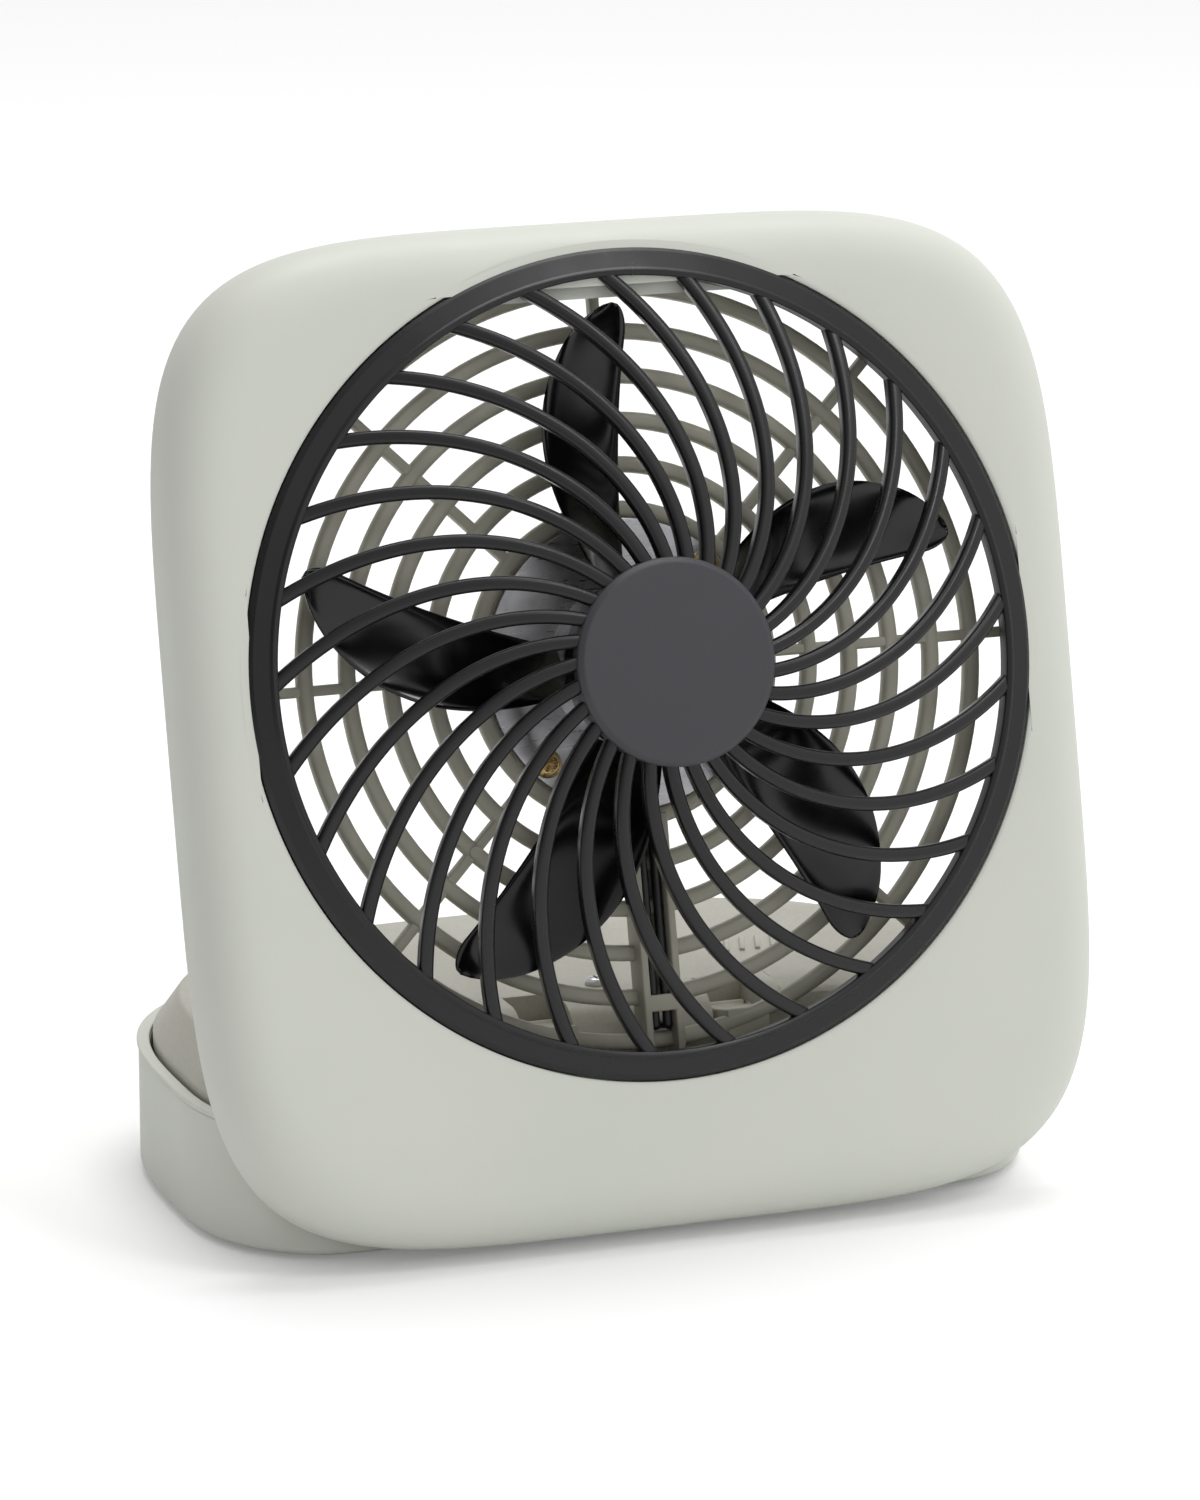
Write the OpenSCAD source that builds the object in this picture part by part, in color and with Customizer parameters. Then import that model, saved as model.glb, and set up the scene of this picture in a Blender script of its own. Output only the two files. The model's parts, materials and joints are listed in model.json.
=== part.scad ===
// Folding battery fan: a square pillowed head with a domed swirl grille, a five-bladed
// impeller and a D-shaped battery stand that the head hinges on. Millimetres, +Z up.
// Origin: centre of the footprint, on the surface that the fan stands on.

/* [Head] */
// Width of the head
head_w = 168; // [160:1:200]
// Height of the head
head_h = 178; // [172:1:215]
// Squareness of the head's outline (higher is squarer)
head_square = 5; // [4:0.5:8]
// Height of the grille's centre above the middle of the head
ring_lift = 10.7; // [0:0.1:14]
// Depth of the front shell's side wall
shell_depth = 14; // [12:0.5:20]
// Wall thickness of the mouldings
wall = 2; // [1.6:0.1:3]
// Lean of the open head, back from upright
head_tilt = 13.6; // [8:0.1:20]
// Height of the open head's lowest edge above the surface
head_clear = 0.5; // [0.3:0.1:3]

/* [Front grille] */
// Outer radius of the grille's ring
ring_r = 73; // [68:0.5:76]
// Width of the ring's face
ring_face = 5.2; // [4:0.1:8]
// Radius of the hub disc
hub_disc_r = 18.2; // [15:0.1:24]
// How far the hub disc's face stands out in front of the ring's outer edge
dome_rise = 15.8; // [14:0.1:22]
// Number of swirl bars
bar_count = 29; // [12:1:36]
// Width of a swirl bar
bar_w = 2.6; // [1.6:0.1:3.2]
// Depth of a swirl bar
bar_t = 3.3; // [2:0.1:4]
// Turn of a bar about the hub for each millimetre outwards, in degrees
bar_swirl = 0.785; // [0.3:0.005:1]

/* [Rear grille] */
// Radius of the opening in the rear shell
rear_open_r = 74; // [72:0.5:76]
// Distance from one ring to the next
rear_pitch = 7.85; // [6:0.05:9]
// Width of a ring
rear_bar_w = 2.9; // [2:0.1:3.5]
// Number of spokes
rear_spokes = 8; // [4:4:12]

/* [Impeller] */
// Radius to the blade tips
blade_r = 63.5; // [50:0.5:65]
// Number of blades
blade_count = 5; // [3:1:6]
// Blade thickness
blade_t = 1.5; // [1.2:0.1:2.5]
// Radius of the impeller's hub
rotor_hub_r = 16; // [15:0.5:18]

/* [Motor] */
// Diameter of the motor's can
motor_d = 24.4; // [20:0.1:27]
// Length of the motor's can
motor_l = 12.3; // [10:0.1:12.5]
// Diameter of the motor's shaft
shaft_d = 2; // [1.5:0.1:3]

/* [Stand] */
// Width of the stand
stand_w = 158.6; // [150:0.1:190]
// Distance from the stand's widest line to its back
stand_back = 66; // [60:1:80]
// Distance from the stand's widest line to the foremost line of its outline
stand_front = 43; // [40:1:60]
// Squareness of the stand's outline (higher is squarer)
stand_square = 3; // [2.5:0.1:5]
// Height of the stand's rim
stand_rim_h = 23.5; // [20:0.5:26]
// Height of the low deck behind the cell hump
stand_deck_h = 33; // [29:0.5:35]
// Thickness of the rubber feet that show below the stand
foot_show = 1; // [0.6:0.1:2]

/* [Cells] */
// Diameter of a cell (D size)
cell_d = 33.2; // [26:0.1:34.2]
// Length of a cell (D size)
cell_l = 60.6; // [50:0.1:61.5]
// Free space round a cell
cell_gap = 0.5; // [0.3:0.1:1]

/* [Hinge] */
// Diameter of the hinge pin
pin_d = 3; // [2.5:0.1:4]
// Radial clearance of the pin in the stand's block
pin_clear = 0.05; // [0.02:0.01:0.1]
// Width of a hinge lug on the head
lug_w = 8; // [6:0.5:10]
// Distance from the middle to a lug
lug_x = 18; // [14:0.5:22]
// Distance of the hinge axis behind the head's back
axis_behind = 8; // [7:0.1:9]

/* [Switch] */
// Travel of the switch knob each way from the middle
knob_travel = 4; // [3:0.5:6]

/* [Hidden] */
$fn = 72;
eps = 0.01;

shell_grey = [0.82, 0.84, 0.80];
back_grey = [0.68, 0.67, 0.61];
grille_black = [0.22, 0.22, 0.24];
blade_black = [0.08, 0.08, 0.09];
steel = [0.76, 0.76, 0.74];
brass = [0.72, 0.60, 0.36];
rubber_black = [0.12, 0.12, 0.12];

// ---- head levels, along the head's own depth (0 is the ring's outer edge, + is back)
rear_t = wall;
head_back = shell_depth + rear_t;
grille_mid = 12.9;
grille_t = 3;
grille_front = grille_mid - grille_t / 2;
grille_back = grille_mid + grille_t / 2;
ring_in_r = ring_r - ring_face;
seat_gap = 0.2;
lip_gap = 1;
lip_t = 1.4;

// ---- the dome that the bars lie in: a sphere through the hub disc's rim and the ring
dome_hub_y = -(dome_rise - 1.3);
dome_ring_y = -1.4;
dome_sum = (ring_in_r * ring_in_r - hub_disc_r * hub_disc_r) / (dome_ring_y - dome_hub_y);
dome_c = (dome_sum - dome_hub_y - dome_ring_y) / 2 + dome_hub_y + dome_ring_y;
dome_r = sqrt(pow(dome_c - dome_hub_y, 2) + hub_disc_r * hub_disc_r);
function dome_y(r) = dome_c - sqrt(dome_r * dome_r - r * r);

// ---- where the head stands
head_bottom = head_h / 2 + ring_lift;
ring_z = head_clear + head_back * sin(head_tilt) + head_bottom * cos(head_tilt);
knob_out = 1.8;
pillow = [[shell_depth, 0], [6, 0.6], [3.6, 1.4], [2, 2.6], [1, 4.4], [0.4, 7.5], [0, 12]];
foremost = pillow[4];
head_reach = (head_bottom - foremost[1]) * sin(head_tilt) - foremost[0] * cos(head_tilt);

// world y, measured from the ring's centre, of the plane at head depth d and height z
function plane_y(d, z) = (d + sin(head_tilt) * (z - ring_z)) / cos(head_tilt);

// ---- stand levels
door_t = 1.8;
door_z = foot_show;
floor_t = 2;
cell_z = door_z + door_t + cell_gap + cell_d / 2;
hump_top = cell_z + cell_d / 2 + cell_gap + wall;
front_gap = 0.8;
front_d = head_back + front_gap;
cell_shift = 2;
contact_t = 0.5;
end_wall_t = 1.5;
spring_l = cell_shift * 2;
hump_half = cell_l + cell_shift + contact_t + end_wall_t + wall + 0.4;
hinge_z = hump_top + 0.5 - axis_behind;
hinge_d = head_back + axis_behind;
hinge_y = plane_y(hinge_d, hinge_z);
hinge_zb = (hinge_z - ring_z + hinge_d * sin(head_tilt)) / cos(head_tilt);
lug_r = 4;
cell_y = hinge_y + 19.2;
stand_mid_y = cell_y + 1;
depth_back = stand_mid_y + stand_back + knob_out;
ring_y = -(depth_back - head_reach) / 2;
hump_back = cell_y - stand_mid_y + cell_d / 2 + cell_gap + 10;
hump_front = 48;
swing_r = axis_behind - 0.4;
block_half = lug_x + lug_w / 2 + 5;
window_back = hinge_y + lug_r + 1;
block_back = window_back + 5;
washer_t = 0.6;
slot_w = lug_w + 2 * washer_t + 0.4;

// ---- screws
screw_x = 66;
screw_top_z = 60;
screw_bottom_z = -(head_bottom - 18);
plate_screw_r = 23;

// ================================================================= helpers
// outline of the head, drawn round the ring's centre, drawn in by inset
function squircle(a, b, n, count) = [for (i = [0:count - 1])
    let (t = 360 * i / count,
         r = pow(pow(abs(cos(t)) / a, n) + pow(abs(sin(t)) / b, n), -1 / n))
    [r * cos(t), r * sin(t)]];
module head_outline(inset) {
    translate([0, -ring_lift])
        polygon(squircle(head_w / 2 - inset, head_h / 2 - inset, head_square, 80));
}

// distance from the middle to a squared ellipse, at turn t, with a front and a back half of their own
function reach(t, half_w, front, back, n) =
    pow(pow(abs(cos(t)) / half_w, n) + pow(abs(sin(t)) / (sin(t) < 0 ? front : back), n), -1 / n);
function stand_reach(t, inset) =
    reach(t, stand_w / 2 - inset, stand_front - inset, stand_back - inset, stand_square);
module stand_outline(inset) {
    polygon([for (t = [0:4:356]) let (r = stand_reach(t, inset)) [r * cos(t), stand_mid_y + r * sin(t)]]);
}

// outline of the raised hump over the cells, kept inside the low deck
deck_in = 7;
function hump_reach(t, inset) = min(stand_reach(t, deck_in + 1.5 + inset),
    reach(t, hump_half - inset, hump_front - inset, hump_back - inset, 8));
module hump_outline(inset) {
    polygon([for (t = [0:4:356]) let (r = hump_reach(t, inset)) [r * cos(t), stand_mid_y + r * sin(t)]]);
}

module in_head() translate([0, ring_y, ring_z]) rotate([-head_tilt, 0, 0]) children();
module in_stand() translate([0, ring_y, 0]) children();
module slab_y(y0, y1) translate([0, y1, 0]) rotate([90, 0, 0]) linear_extrude(y1 - y0) children();
module rod_y(r, y0, y1) slab_y(y0, y1) circle(r);
module spin_y(profile) rotate([-90, 0, 0]) rotate_extrude() polygon(profile);
module at_case_screws() {
    for (x = [-screw_x, screw_x], z = [screw_bottom_z, screw_top_z]) translate([x, 0, z]) children();
}
module at_plate_screws() {
    for (a = [45, 225]) translate([plate_screw_r * cos(a), 0, plate_screw_r * sin(a)]) children();
}
// everything behind the plane at head depth d, in the stand's frame
module behind(d) {
    translate([0, 0, ring_z]) rotate([-head_tilt, 0, 0])
        translate([-150, d, -200]) cube([300, 300, 400]);
}
// what the head's back sweeps over as it folds: above and ahead of the hinge axis, beyond radius r
module swept_by_head(r) {
    difference() {
        translate([-150, hinge_y - 60, hinge_z]) cube([300, 60, 60]);
        translate([-151, hinge_y, hinge_z]) rotate([0, 90, 0]) cylinder(r = r, h = 302);
    }
}
// a pan-head screw along +y, its head's seat at y = 0 and its tip towards -y
module screw_y(head_r, head_t, shank_r, shank_l) {
    difference() {
        rod_y(head_r, 0, head_t);
        for (a = [0, 90]) rotate([0, a, 0])
            translate([-head_r * 0.6, head_t * 0.45, -0.3]) cube([head_r * 1.2, head_t, 0.6]);
    }
    rod_y(shank_r, -shank_l, eps);
}
// the same screw, upright: its head points down when down is true, its seat is at z = 0
module screw_z(head_r, head_t, shank_r, shank_l, down) {
    rotate([down ? -90 : 90, 0, 0]) screw_y(head_r, head_t, shank_r, shank_l);
}

// ================================================================= head
module pillow_solid(inset, deeper) {
    hull() for (layer = pillow)
        slab_y(layer[0] + deeper, layer[0] + deeper + 0.05) head_outline(layer[1] + inset);
}
collar_r = ring_r + seat_gap;
module front_shell() {
    color(shell_grey) in_head() {
        difference() {
            pillow_solid(0, 0);
            pillow_solid(wall, wall);
            rod_y(collar_r, -5, shell_depth);
            slab_y(shell_depth, shell_depth + 5) square(400, center = true);
        }
        difference() {
            rod_y(collar_r + 1.8, 1.9, 8);
            rod_y(collar_r, 1, 9);
        }
        at_case_screws() difference() {
            rod_y(3.6, wall - 0.4, 9.8);
            rod_y(1.25, 4, 10);
        }
    }
}

bar_steps = 10;
function swirl(r) = 3 + bar_swirl * (r - 50);
function bar_edge(r, side) =
    let (lean = atan(bar_swirl * PI / 180 * r), half = bar_w / 2 / cos(lean),
         a = swirl(r) + side * half / r * 180 / PI)
    [r * cos(a), r * sin(a)];
bar_in = hub_disc_r - 2;
bar_out = ring_in_r + 1.2;
function bar_r(i) = bar_in + (bar_out - bar_in) * i / bar_steps;
bar_points = concat([for (i = [0:bar_steps]) bar_edge(bar_r(i), -1)],
                    [for (i = [bar_steps:-1:0]) bar_edge(bar_r(i), 1)]);
module front_grille() {
    color(grille_black) in_head() {
        difference() {
            intersection() {
                slab_y(-dome_rise - 2, 4)
                    for (i = [0:bar_count - 1]) rotate(360 * i / bar_count) polygon(bar_points);
                translate([0, dome_c, 0]) sphere(dome_r);
            }
            translate([0, dome_c, 0]) sphere(dome_r - bar_t);
        }
        spin_y([[ring_in_r, dome_ring_y], [ring_in_r + 1.1, -1.8], [ring_r - 1, -0.5],
                [ring_r, 0.2], [ring_r, 4.5], [ring_r - 1.6, 4.5], [ring_r - 1.6, 1.8],
                [ring_in_r, 1.8]]);
        spin_y([[0, -dome_rise], [hub_disc_r - 1.4, -dome_rise], [hub_disc_r - 0.4, -dome_rise + 0.5],
                [hub_disc_r, -dome_rise + 1.4], [hub_disc_r, -dome_rise + 3.6], [0, -dome_rise + 3.6]]);
    }
}

rear_ring_first = 27.5;
rear_ring_r = [for (r = [rear_ring_first:rear_pitch:rear_open_r - 5]) r];
plate_r = rear_ring_first + 1;
channel_x0 = -2.6;
channel_x1 = 4.6;
channel_wall = 1.4;
channel_front = grille_front - 3;
channel_end = 61;
module rear_ring(r) {
    w = rear_bar_w / 2;
    k = 0.8;
    spin_y([[r - w, grille_front + k], [r - w + k, grille_front], [r + w - k, grille_front],
            [r + w, grille_front + k], [r + w, grille_back - k], [r + w - k, grille_back],
            [r - w + k, grille_back], [r - w, grille_back - k]]);
}
module rear_shell() {
    color(back_grey) in_head() {
        difference() {
            union() {
                slab_y(shell_depth, head_back) head_outline(1.2);
                slab_y(shell_depth - 3, shell_depth) difference() {
                    head_outline(wall + lip_gap);
                    head_outline(wall + lip_gap + lip_t);
                }
                at_case_screws() rod_y(5.2, 9.8, head_back - 0.5);
            }
            rod_y(rear_open_r, shell_depth - 5, head_back + 5);
            at_case_screws() {
                rod_y(3.6, 11.6, head_back + 1);
                rod_y(1.6, 9, 12);
            }
        }
        for (r = rear_ring_r) rear_ring(r);
        for (i = [0:rear_spokes - 1]) if (i != rear_spokes / 2)
            rotate([0, 360 * i / rear_spokes, 0]) translate([-0.95, grille_front + 0.3, plate_r - 1])
                cube([1.9, grille_t - 0.55, rear_open_r - plate_r + 2]);
        // the channel that holds the leads, with its cross tab
        for (x = [channel_x0, channel_x1 - channel_wall]) translate([x, channel_front, -rear_open_r - 1])
            cube([channel_wall, grille_back - channel_front, rear_open_r - plate_r + 3]);
        translate([channel_x0 + 0.1, channel_front, -channel_end - 0.5])
            cube([channel_x1 - channel_x0 - 0.2, 0.9, 3]);
        translate([channel_x0 + 0.1, grille_back - 1.2, -channel_end])
            cube([channel_x1 - channel_x0 - 0.2, 1, channel_end - plate_r + 2]);
        // motor plate with its screw bosses
        difference() {
            rod_y(plate_r, grille_back - wall, grille_back);
            rod_y(3.2, 0, 20);
            at_plate_screws() rod_y(1.1, 5, 20);
        }
        // hinge lugs, on webs that run down to the rear plate
        for (s = [-1, 1]) translate([s * lug_x, 0, 0]) difference() {
            union() {
                translate([-lug_w / 2, hinge_d, hinge_zb]) rotate([0, 90, 0]) cylinder(r = lug_r, h = lug_w);
                translate([-lug_w / 2, grille_front + 0.2, hinge_zb - 3.2])
                    cube([lug_w, hinge_d - grille_front, 6.4]);
                translate([-lug_w / 2 + 0.3, grille_front + 0.4, -rear_open_r - 6])
                    cube([lug_w - 0.6, head_back - grille_front - 0.8, 6 + rear_open_r + hinge_zb]);
            }
            translate([-lug_w, hinge_d, hinge_zb]) rotate([0, 90, 0]) cylinder(r = pin_d / 2, h = lug_w * 2);
        }
    }
}

module case_screws() {
    color(steel) in_head() at_case_screws() translate([0, 11.6, 0]) screw_y(2.8, 1.8, 1.25, 7);
}
clamp_t = 1.5;
clamp_gap = 0.05;
clamp_y = grille_back - wall - clamp_t;
motor_back = grille_back - wall;
motor_front = motor_back - motor_l;
module motor_plate_screws() {
    color(brass) in_head() at_plate_screws()
        translate([0, clamp_y, 0]) rotate([180, 0, 0]) screw_y(2.6, 1.6, 1.1, clamp_t + wall);
}
module motor_clamp() {
    color(back_grey) in_head() difference() {
        union() {
            rod_y(rear_ring_first - rear_bar_w / 2 - seat_gap, clamp_y, motor_back);
            rod_y(motor_d / 2 + 1.8, motor_front - 1.2, motor_back);
        }
        rod_y(motor_d / 2 + clamp_gap, motor_front - eps, motor_back + 1);
        rod_y(5, motor_front - 3, motor_back);
        at_plate_screws() rod_y(1.1, 0, 20);
    }
}
bush_clear = 0.03;
module motor() {
    color(steel) in_head() difference() {
        union() {
            rod_y(motor_d / 2, motor_front, motor_back);
            rod_y(3, motor_front - 1.6, motor_front + 1);
            rod_y(3, motor_back - 1, motor_back + 1.2);
        }
        rod_y(shaft_d / 2 + bush_clear, motor_front - 3, motor_back + 0.8);
    }
}
rotor_front = dome_hub_y + 3.6;
module motor_shaft() {
    color(steel) in_head() rod_y(shaft_d / 2, rotor_front + 1, motor_back + 0.6);
}

// Blade: edge angles and depths as smooth functions of radius. The low edge leads and lies
// towards the back, the high edge trails and lies towards the front.
blade_rows = 11;
blade_cols = 6;
function blend(a, b, t) = a + (b - a) * t;
function edge_lead(u) = 20 - 5.5 * pow(u, 1.4);
function edge_trail(u) = 51 - 9 * u - 21 * pow(u, 2.6);
function tip_round(u) = u < 0.87 ? 1 : sqrt(max(0.02, 1 - pow((u - 0.87) / 0.13, 2)));
function depth_lead(u) = blend(6.5, 4.6, u);
function depth_trail(u) = blend(-6.5, 3.2, pow(u, 1.3));
function blade_point(u, v, face) =
    let (r = rotor_hub_r - 1 + (blade_r - rotor_hub_r + 1) * u, w = tip_round(u),
         mid = (edge_lead(u) + edge_trail(u)) / 2, half = (edge_trail(u) - edge_lead(u)) / 2 * w,
         a = mid + half * (2 * v - 1), camber = 1.6 * sin(180 * v) * (1 - 0.5 * u),
         y = blend(depth_lead(u), depth_trail(u), 0.5 + (v - 0.5) * w) + camber,
         t = blade_t * (1 - 0.35 * pow(2 * v - 1, 2)))
    [r * cos(a), y + face * t / 2, r * sin(a)];
blade_points = concat(
    [for (i = [0:blade_rows], j = [0:blade_cols]) blade_point(i / blade_rows, j / blade_cols, -1)],
    [for (i = [0:blade_rows], j = [0:blade_cols]) blade_point(i / blade_rows, j / blade_cols, 1)]);
function at(i, j, f) = f * (blade_rows + 1) * (blade_cols + 1) + i * (blade_cols + 1) + j;
blade_faces = concat(
    [for (i = [0:blade_rows - 1], j = [0:blade_cols - 1], k = [0, 1]) k == 0
        ? [at(i, j, 0), at(i + 1, j + 1, 0), at(i + 1, j, 0)]
        : [at(i, j, 0), at(i, j + 1, 0), at(i + 1, j + 1, 0)]],
    [for (i = [0:blade_rows - 1], j = [0:blade_cols - 1], k = [0, 1]) k == 0
        ? [at(i, j, 1), at(i + 1, j, 1), at(i + 1, j + 1, 1)]
        : [at(i, j, 1), at(i + 1, j + 1, 1), at(i, j + 1, 1)]],
    [for (i = [0:blade_rows - 1], k = [0, 1]) k == 0
        ? [at(i, 0, 0), at(i + 1, 0, 0), at(i + 1, 0, 1)]
        : [at(i, 0, 0), at(i + 1, 0, 1), at(i, 0, 1)]],
    [for (i = [0:blade_rows - 1], k = [0, 1]) k == 0
        ? [at(i, blade_cols, 0), at(i + 1, blade_cols, 1), at(i + 1, blade_cols, 0)]
        : [at(i, blade_cols, 0), at(i, blade_cols, 1), at(i + 1, blade_cols, 1)]],
    [for (j = [0:blade_cols - 1], k = [0, 1]) k == 0
        ? [at(0, j, 0), at(0, j, 1), at(0, j + 1, 1)]
        : [at(0, j, 0), at(0, j + 1, 1), at(0, j + 1, 0)]],
    [for (j = [0:blade_cols - 1], k = [0, 1]) k == 0
        ? [at(blade_rows, j, 0), at(blade_rows, j + 1, 1), at(blade_rows, j, 1)]
        : [at(blade_rows, j, 0), at(blade_rows, j + 1, 0), at(blade_rows, j + 1, 1)]]);
module impeller() {
    color(blade_black) in_head() {
        difference() {
            union() {
                difference() {
                    rod_y(rotor_hub_r, rotor_front, rotor_front + 9.5);
                    rod_y(rotor_hub_r - 1.4, rotor_front + 1.6, rotor_front + 12);
                }
                rod_y(3.4, rotor_front, motor_front - 2.4);
            }
            rod_y(shaft_d / 2, rotor_front + 1, 20);
        }
        for (i = [0:blade_count - 1]) rotate([0, -360 * i / blade_count, 0])
            polyhedron(blade_points, blade_faces);
    }
}

lead_r = 0.85;
elbow_r = lead_r + 0.03;
lead_x = [channel_x0 + channel_wall + lead_r + 0.2, channel_x1 - channel_wall - lead_r - 0.2];
lead_y = grille_front - lead_r - 0.1;
// one straight stretch of lead from a to b
module run(a, b) {
    d = b - a;
    translate(a) rotate([0, acos(d[2] / norm(d)), atan2(d[1], d[0])]) cylinder(r = lead_r, h = norm(d));
}
module head_leads() {
    color(rubber_black) in_head() for (x = lead_x) {
        run([x, lead_y, -plate_r + 1], [x, lead_y, -channel_end - 3]);
        run([x, lead_y, -channel_end - 3], [x, head_back - 0.6, -channel_end - 3]);
        translate([x, lead_y, -channel_end - 3]) sphere(elbow_r);
    }
}

// ================================================================= stand
tub_top = stand_rim_h;
door_fit = 0.3;
door_x = cell_l + 3;
door_y0 = cell_y - cell_d / 2 - 0.9;
door_y1 = cell_y + cell_d / 2 + 1.5;
latch_x = 9;
boss_top = foot_show + 17;
stand_screw_pts = [for (p = [[56, 46], [71.5, 2]], s = [-1, 1]) [s * p[0], stand_mid_y + p[1]]];
module at_stand_screws() for (p = stand_screw_pts) translate([p[0], p[1], 0]) children();
module end_wall(x) {
    translate([x, cell_y - 12, foot_show]) cube([end_wall_t, 24, cell_z + 8 - foot_show]);
}
end_right = cell_l + cell_shift + contact_t;
module stand_tub() {
    color(shell_grey) in_stand() difference() {
        union() {
            difference() {
                intersection() {
                    translate([0, 0, foot_show]) linear_extrude(tub_top - foot_show) stand_outline(0);
                    behind(front_d);
                }
                intersection() {
                    translate([0, 0, foot_show + floor_t]) linear_extrude(50) stand_outline(wall);
                    behind(front_d + wall);
                }
            }
            at_stand_screws() translate([0, 0, foot_show]) cylinder(r = 4.2, h = boss_top - foot_show);
            end_wall(end_right);
            end_wall(-end_right - end_wall_t);
        }
        translate([-door_x, door_y0, -1]) cube([door_x * 2, door_y1 - door_y0, 10]);
        at_stand_screws() {
            translate([0, 0, -1]) cylinder(r = 3.4, h = foot_show + 4);
            cylinder(r = 1.6, h = 30);
        }
        translate([-knob_travel - 4.4, stand_mid_y + stand_back - wall - 1, switch_z - 2.4])
            cube([knob_travel * 2 + 8.8, wall + 2, 4.8]);
    }
}

// the lid: a low deck that rises from the rim, and the hump over the cells
rim_over = 0.3;
rim_w = 2;
rim_t = 0.9;
module lid_layer(z) translate([0, 0, z]) linear_extrude(0.05) children();
module lid_shape(inset) {
    hull() {
        lid_layer(tub_top + 0.2 - inset) stand_outline(rim_w + 0.1 + inset);
        lid_layer(tub_top + 2.5 - inset) stand_outline(rim_w + 0.4 + inset);
        lid_layer(stand_deck_h - inset - 0.05) stand_outline(deck_in + inset);
    }
    hull() {
        lid_layer(stand_deck_h - inset - 1) hump_outline(inset - 1.5);
        lid_layer(hump_top - inset - 1.5) hump_outline(inset + 1);
        lid_layer(hump_top - inset - 0.05) hump_outline(inset + 2.5);
    }
}
lid_screw_pts = [[-4, window_back + 2.4], [9, window_back + 2.4]];
module at_lid_screws() for (p = lid_screw_pts) translate([p[0], p[1], hump_top]) children();
rib_pts = [for (i = [0:4]) 24 + 3 * i];
module stand_lid() {
    color(back_grey) in_stand() {
        difference() {
            intersection() {
                union() {
                    lid_shape(0);
                    translate([0, 0, tub_top]) linear_extrude(rim_t) difference() {
                        stand_outline(-rim_over);
                        stand_outline(wall + 2);
                    }
                }
                behind(front_d);
            }
            difference() {
                intersection() {
                    lid_shape(wall);
                    behind(front_d + wall);
                }
                swept_by_head(swing_r - wall);
            }
            swept_by_head(swing_r);
            translate([-block_half - 0.1, -60, tub_top - 5])
                cube([block_half * 2 + 0.2, 60 + window_back + 0.1, 60]);
            at_lid_screws() translate([0, 0, -5]) cylinder(r = 1.1, h = 10);
        }
        difference() {
            intersection() {
                at_stand_screws() translate([0, 0, boss_top]) cylinder(r = 4.2, h = 20);
                lid_shape(0.6);
            }
            at_stand_screws() translate([0, 0, boss_top - 1]) cylinder(r = 1.25, h = 6);
        }
        for (x = rib_pts) translate([x, cell_y + 3, hump_top]) rotate([0, 0, -20])
            translate([-0.5, -4, -0.3]) cube([1, 8, 0.8]);
    }
}

module hinge_block() {
    color(shell_grey) in_stand() difference() {
        intersection() {
            union() {
                translate([-block_half, -40, tub_top])
                    cube([block_half * 2, 40 + window_back, hump_top - tub_top]);
                translate([-block_half, -40, tub_top])
                    cube([block_half * 2, 40 + block_back, hump_top - wall - tub_top]);
            }
            behind(front_d);
        }
        swept_by_head(swing_r);
        translate([-100, cell_y, cell_z]) rotate([0, 90, 0]) cylinder(r = cell_d / 2 + cell_gap, h = 200);
        for (s = [-1, 1]) translate([s * lug_x - slot_w / 2, 0, 0]) {
            translate([0, hinge_y, hinge_z]) rotate([0, 90, 0]) cylinder(r = lug_r + 0.6, h = slot_w);
            translate([0, -40, hinge_z]) cube([slot_w, 40 + hinge_y + lug_r + 0.6, 40]);
            translate([0, -40, hinge_z - lug_r - 0.6]) cube([slot_w, 40 + hinge_y, lug_r + 0.7]);
        }
        translate([-block_half - 1, hinge_y, hinge_z]) rotate([0, 90, 0])
            cylinder(r = pin_d / 2 + pin_clear, h = block_half * 2 + 2);
        translate([-2.5, -40, hinge_z - lug_r - 4]) cube([7, 60, lug_r + 4 - pin_d / 2 - 1.2]);
        at_lid_screws() translate([0, 0, -6]) cylinder(r = 0.9, h = 10);
    }
}
module lid_screws() {
    color(steel) in_stand() at_lid_screws() screw_z(1.9, 1.3, 0.9, 5.5, false);
}
module hinge_pin() {
    color(steel) in_stand() translate([-block_half + 0.5, hinge_y, hinge_z]) rotate([0, 90, 0])
        cylinder(r = pin_d / 2, h = block_half * 2 - 1);
}
module hinge_washers() {
    color(steel) in_stand() for (s = [-1, 1], t = [-1, 1])
        translate([s * lug_x + t * (lug_w / 2 + washer_t / 2 + 0.1) - washer_t / 2, hinge_y, hinge_z])
            rotate([0, 90, 0]) difference() {
                cylinder(r = lug_r - 0.4, h = washer_t);
                translate([0, 0, -1]) cylinder(r = pin_d / 2 + pin_clear, h = washer_t + 2);
            }
}

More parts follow.
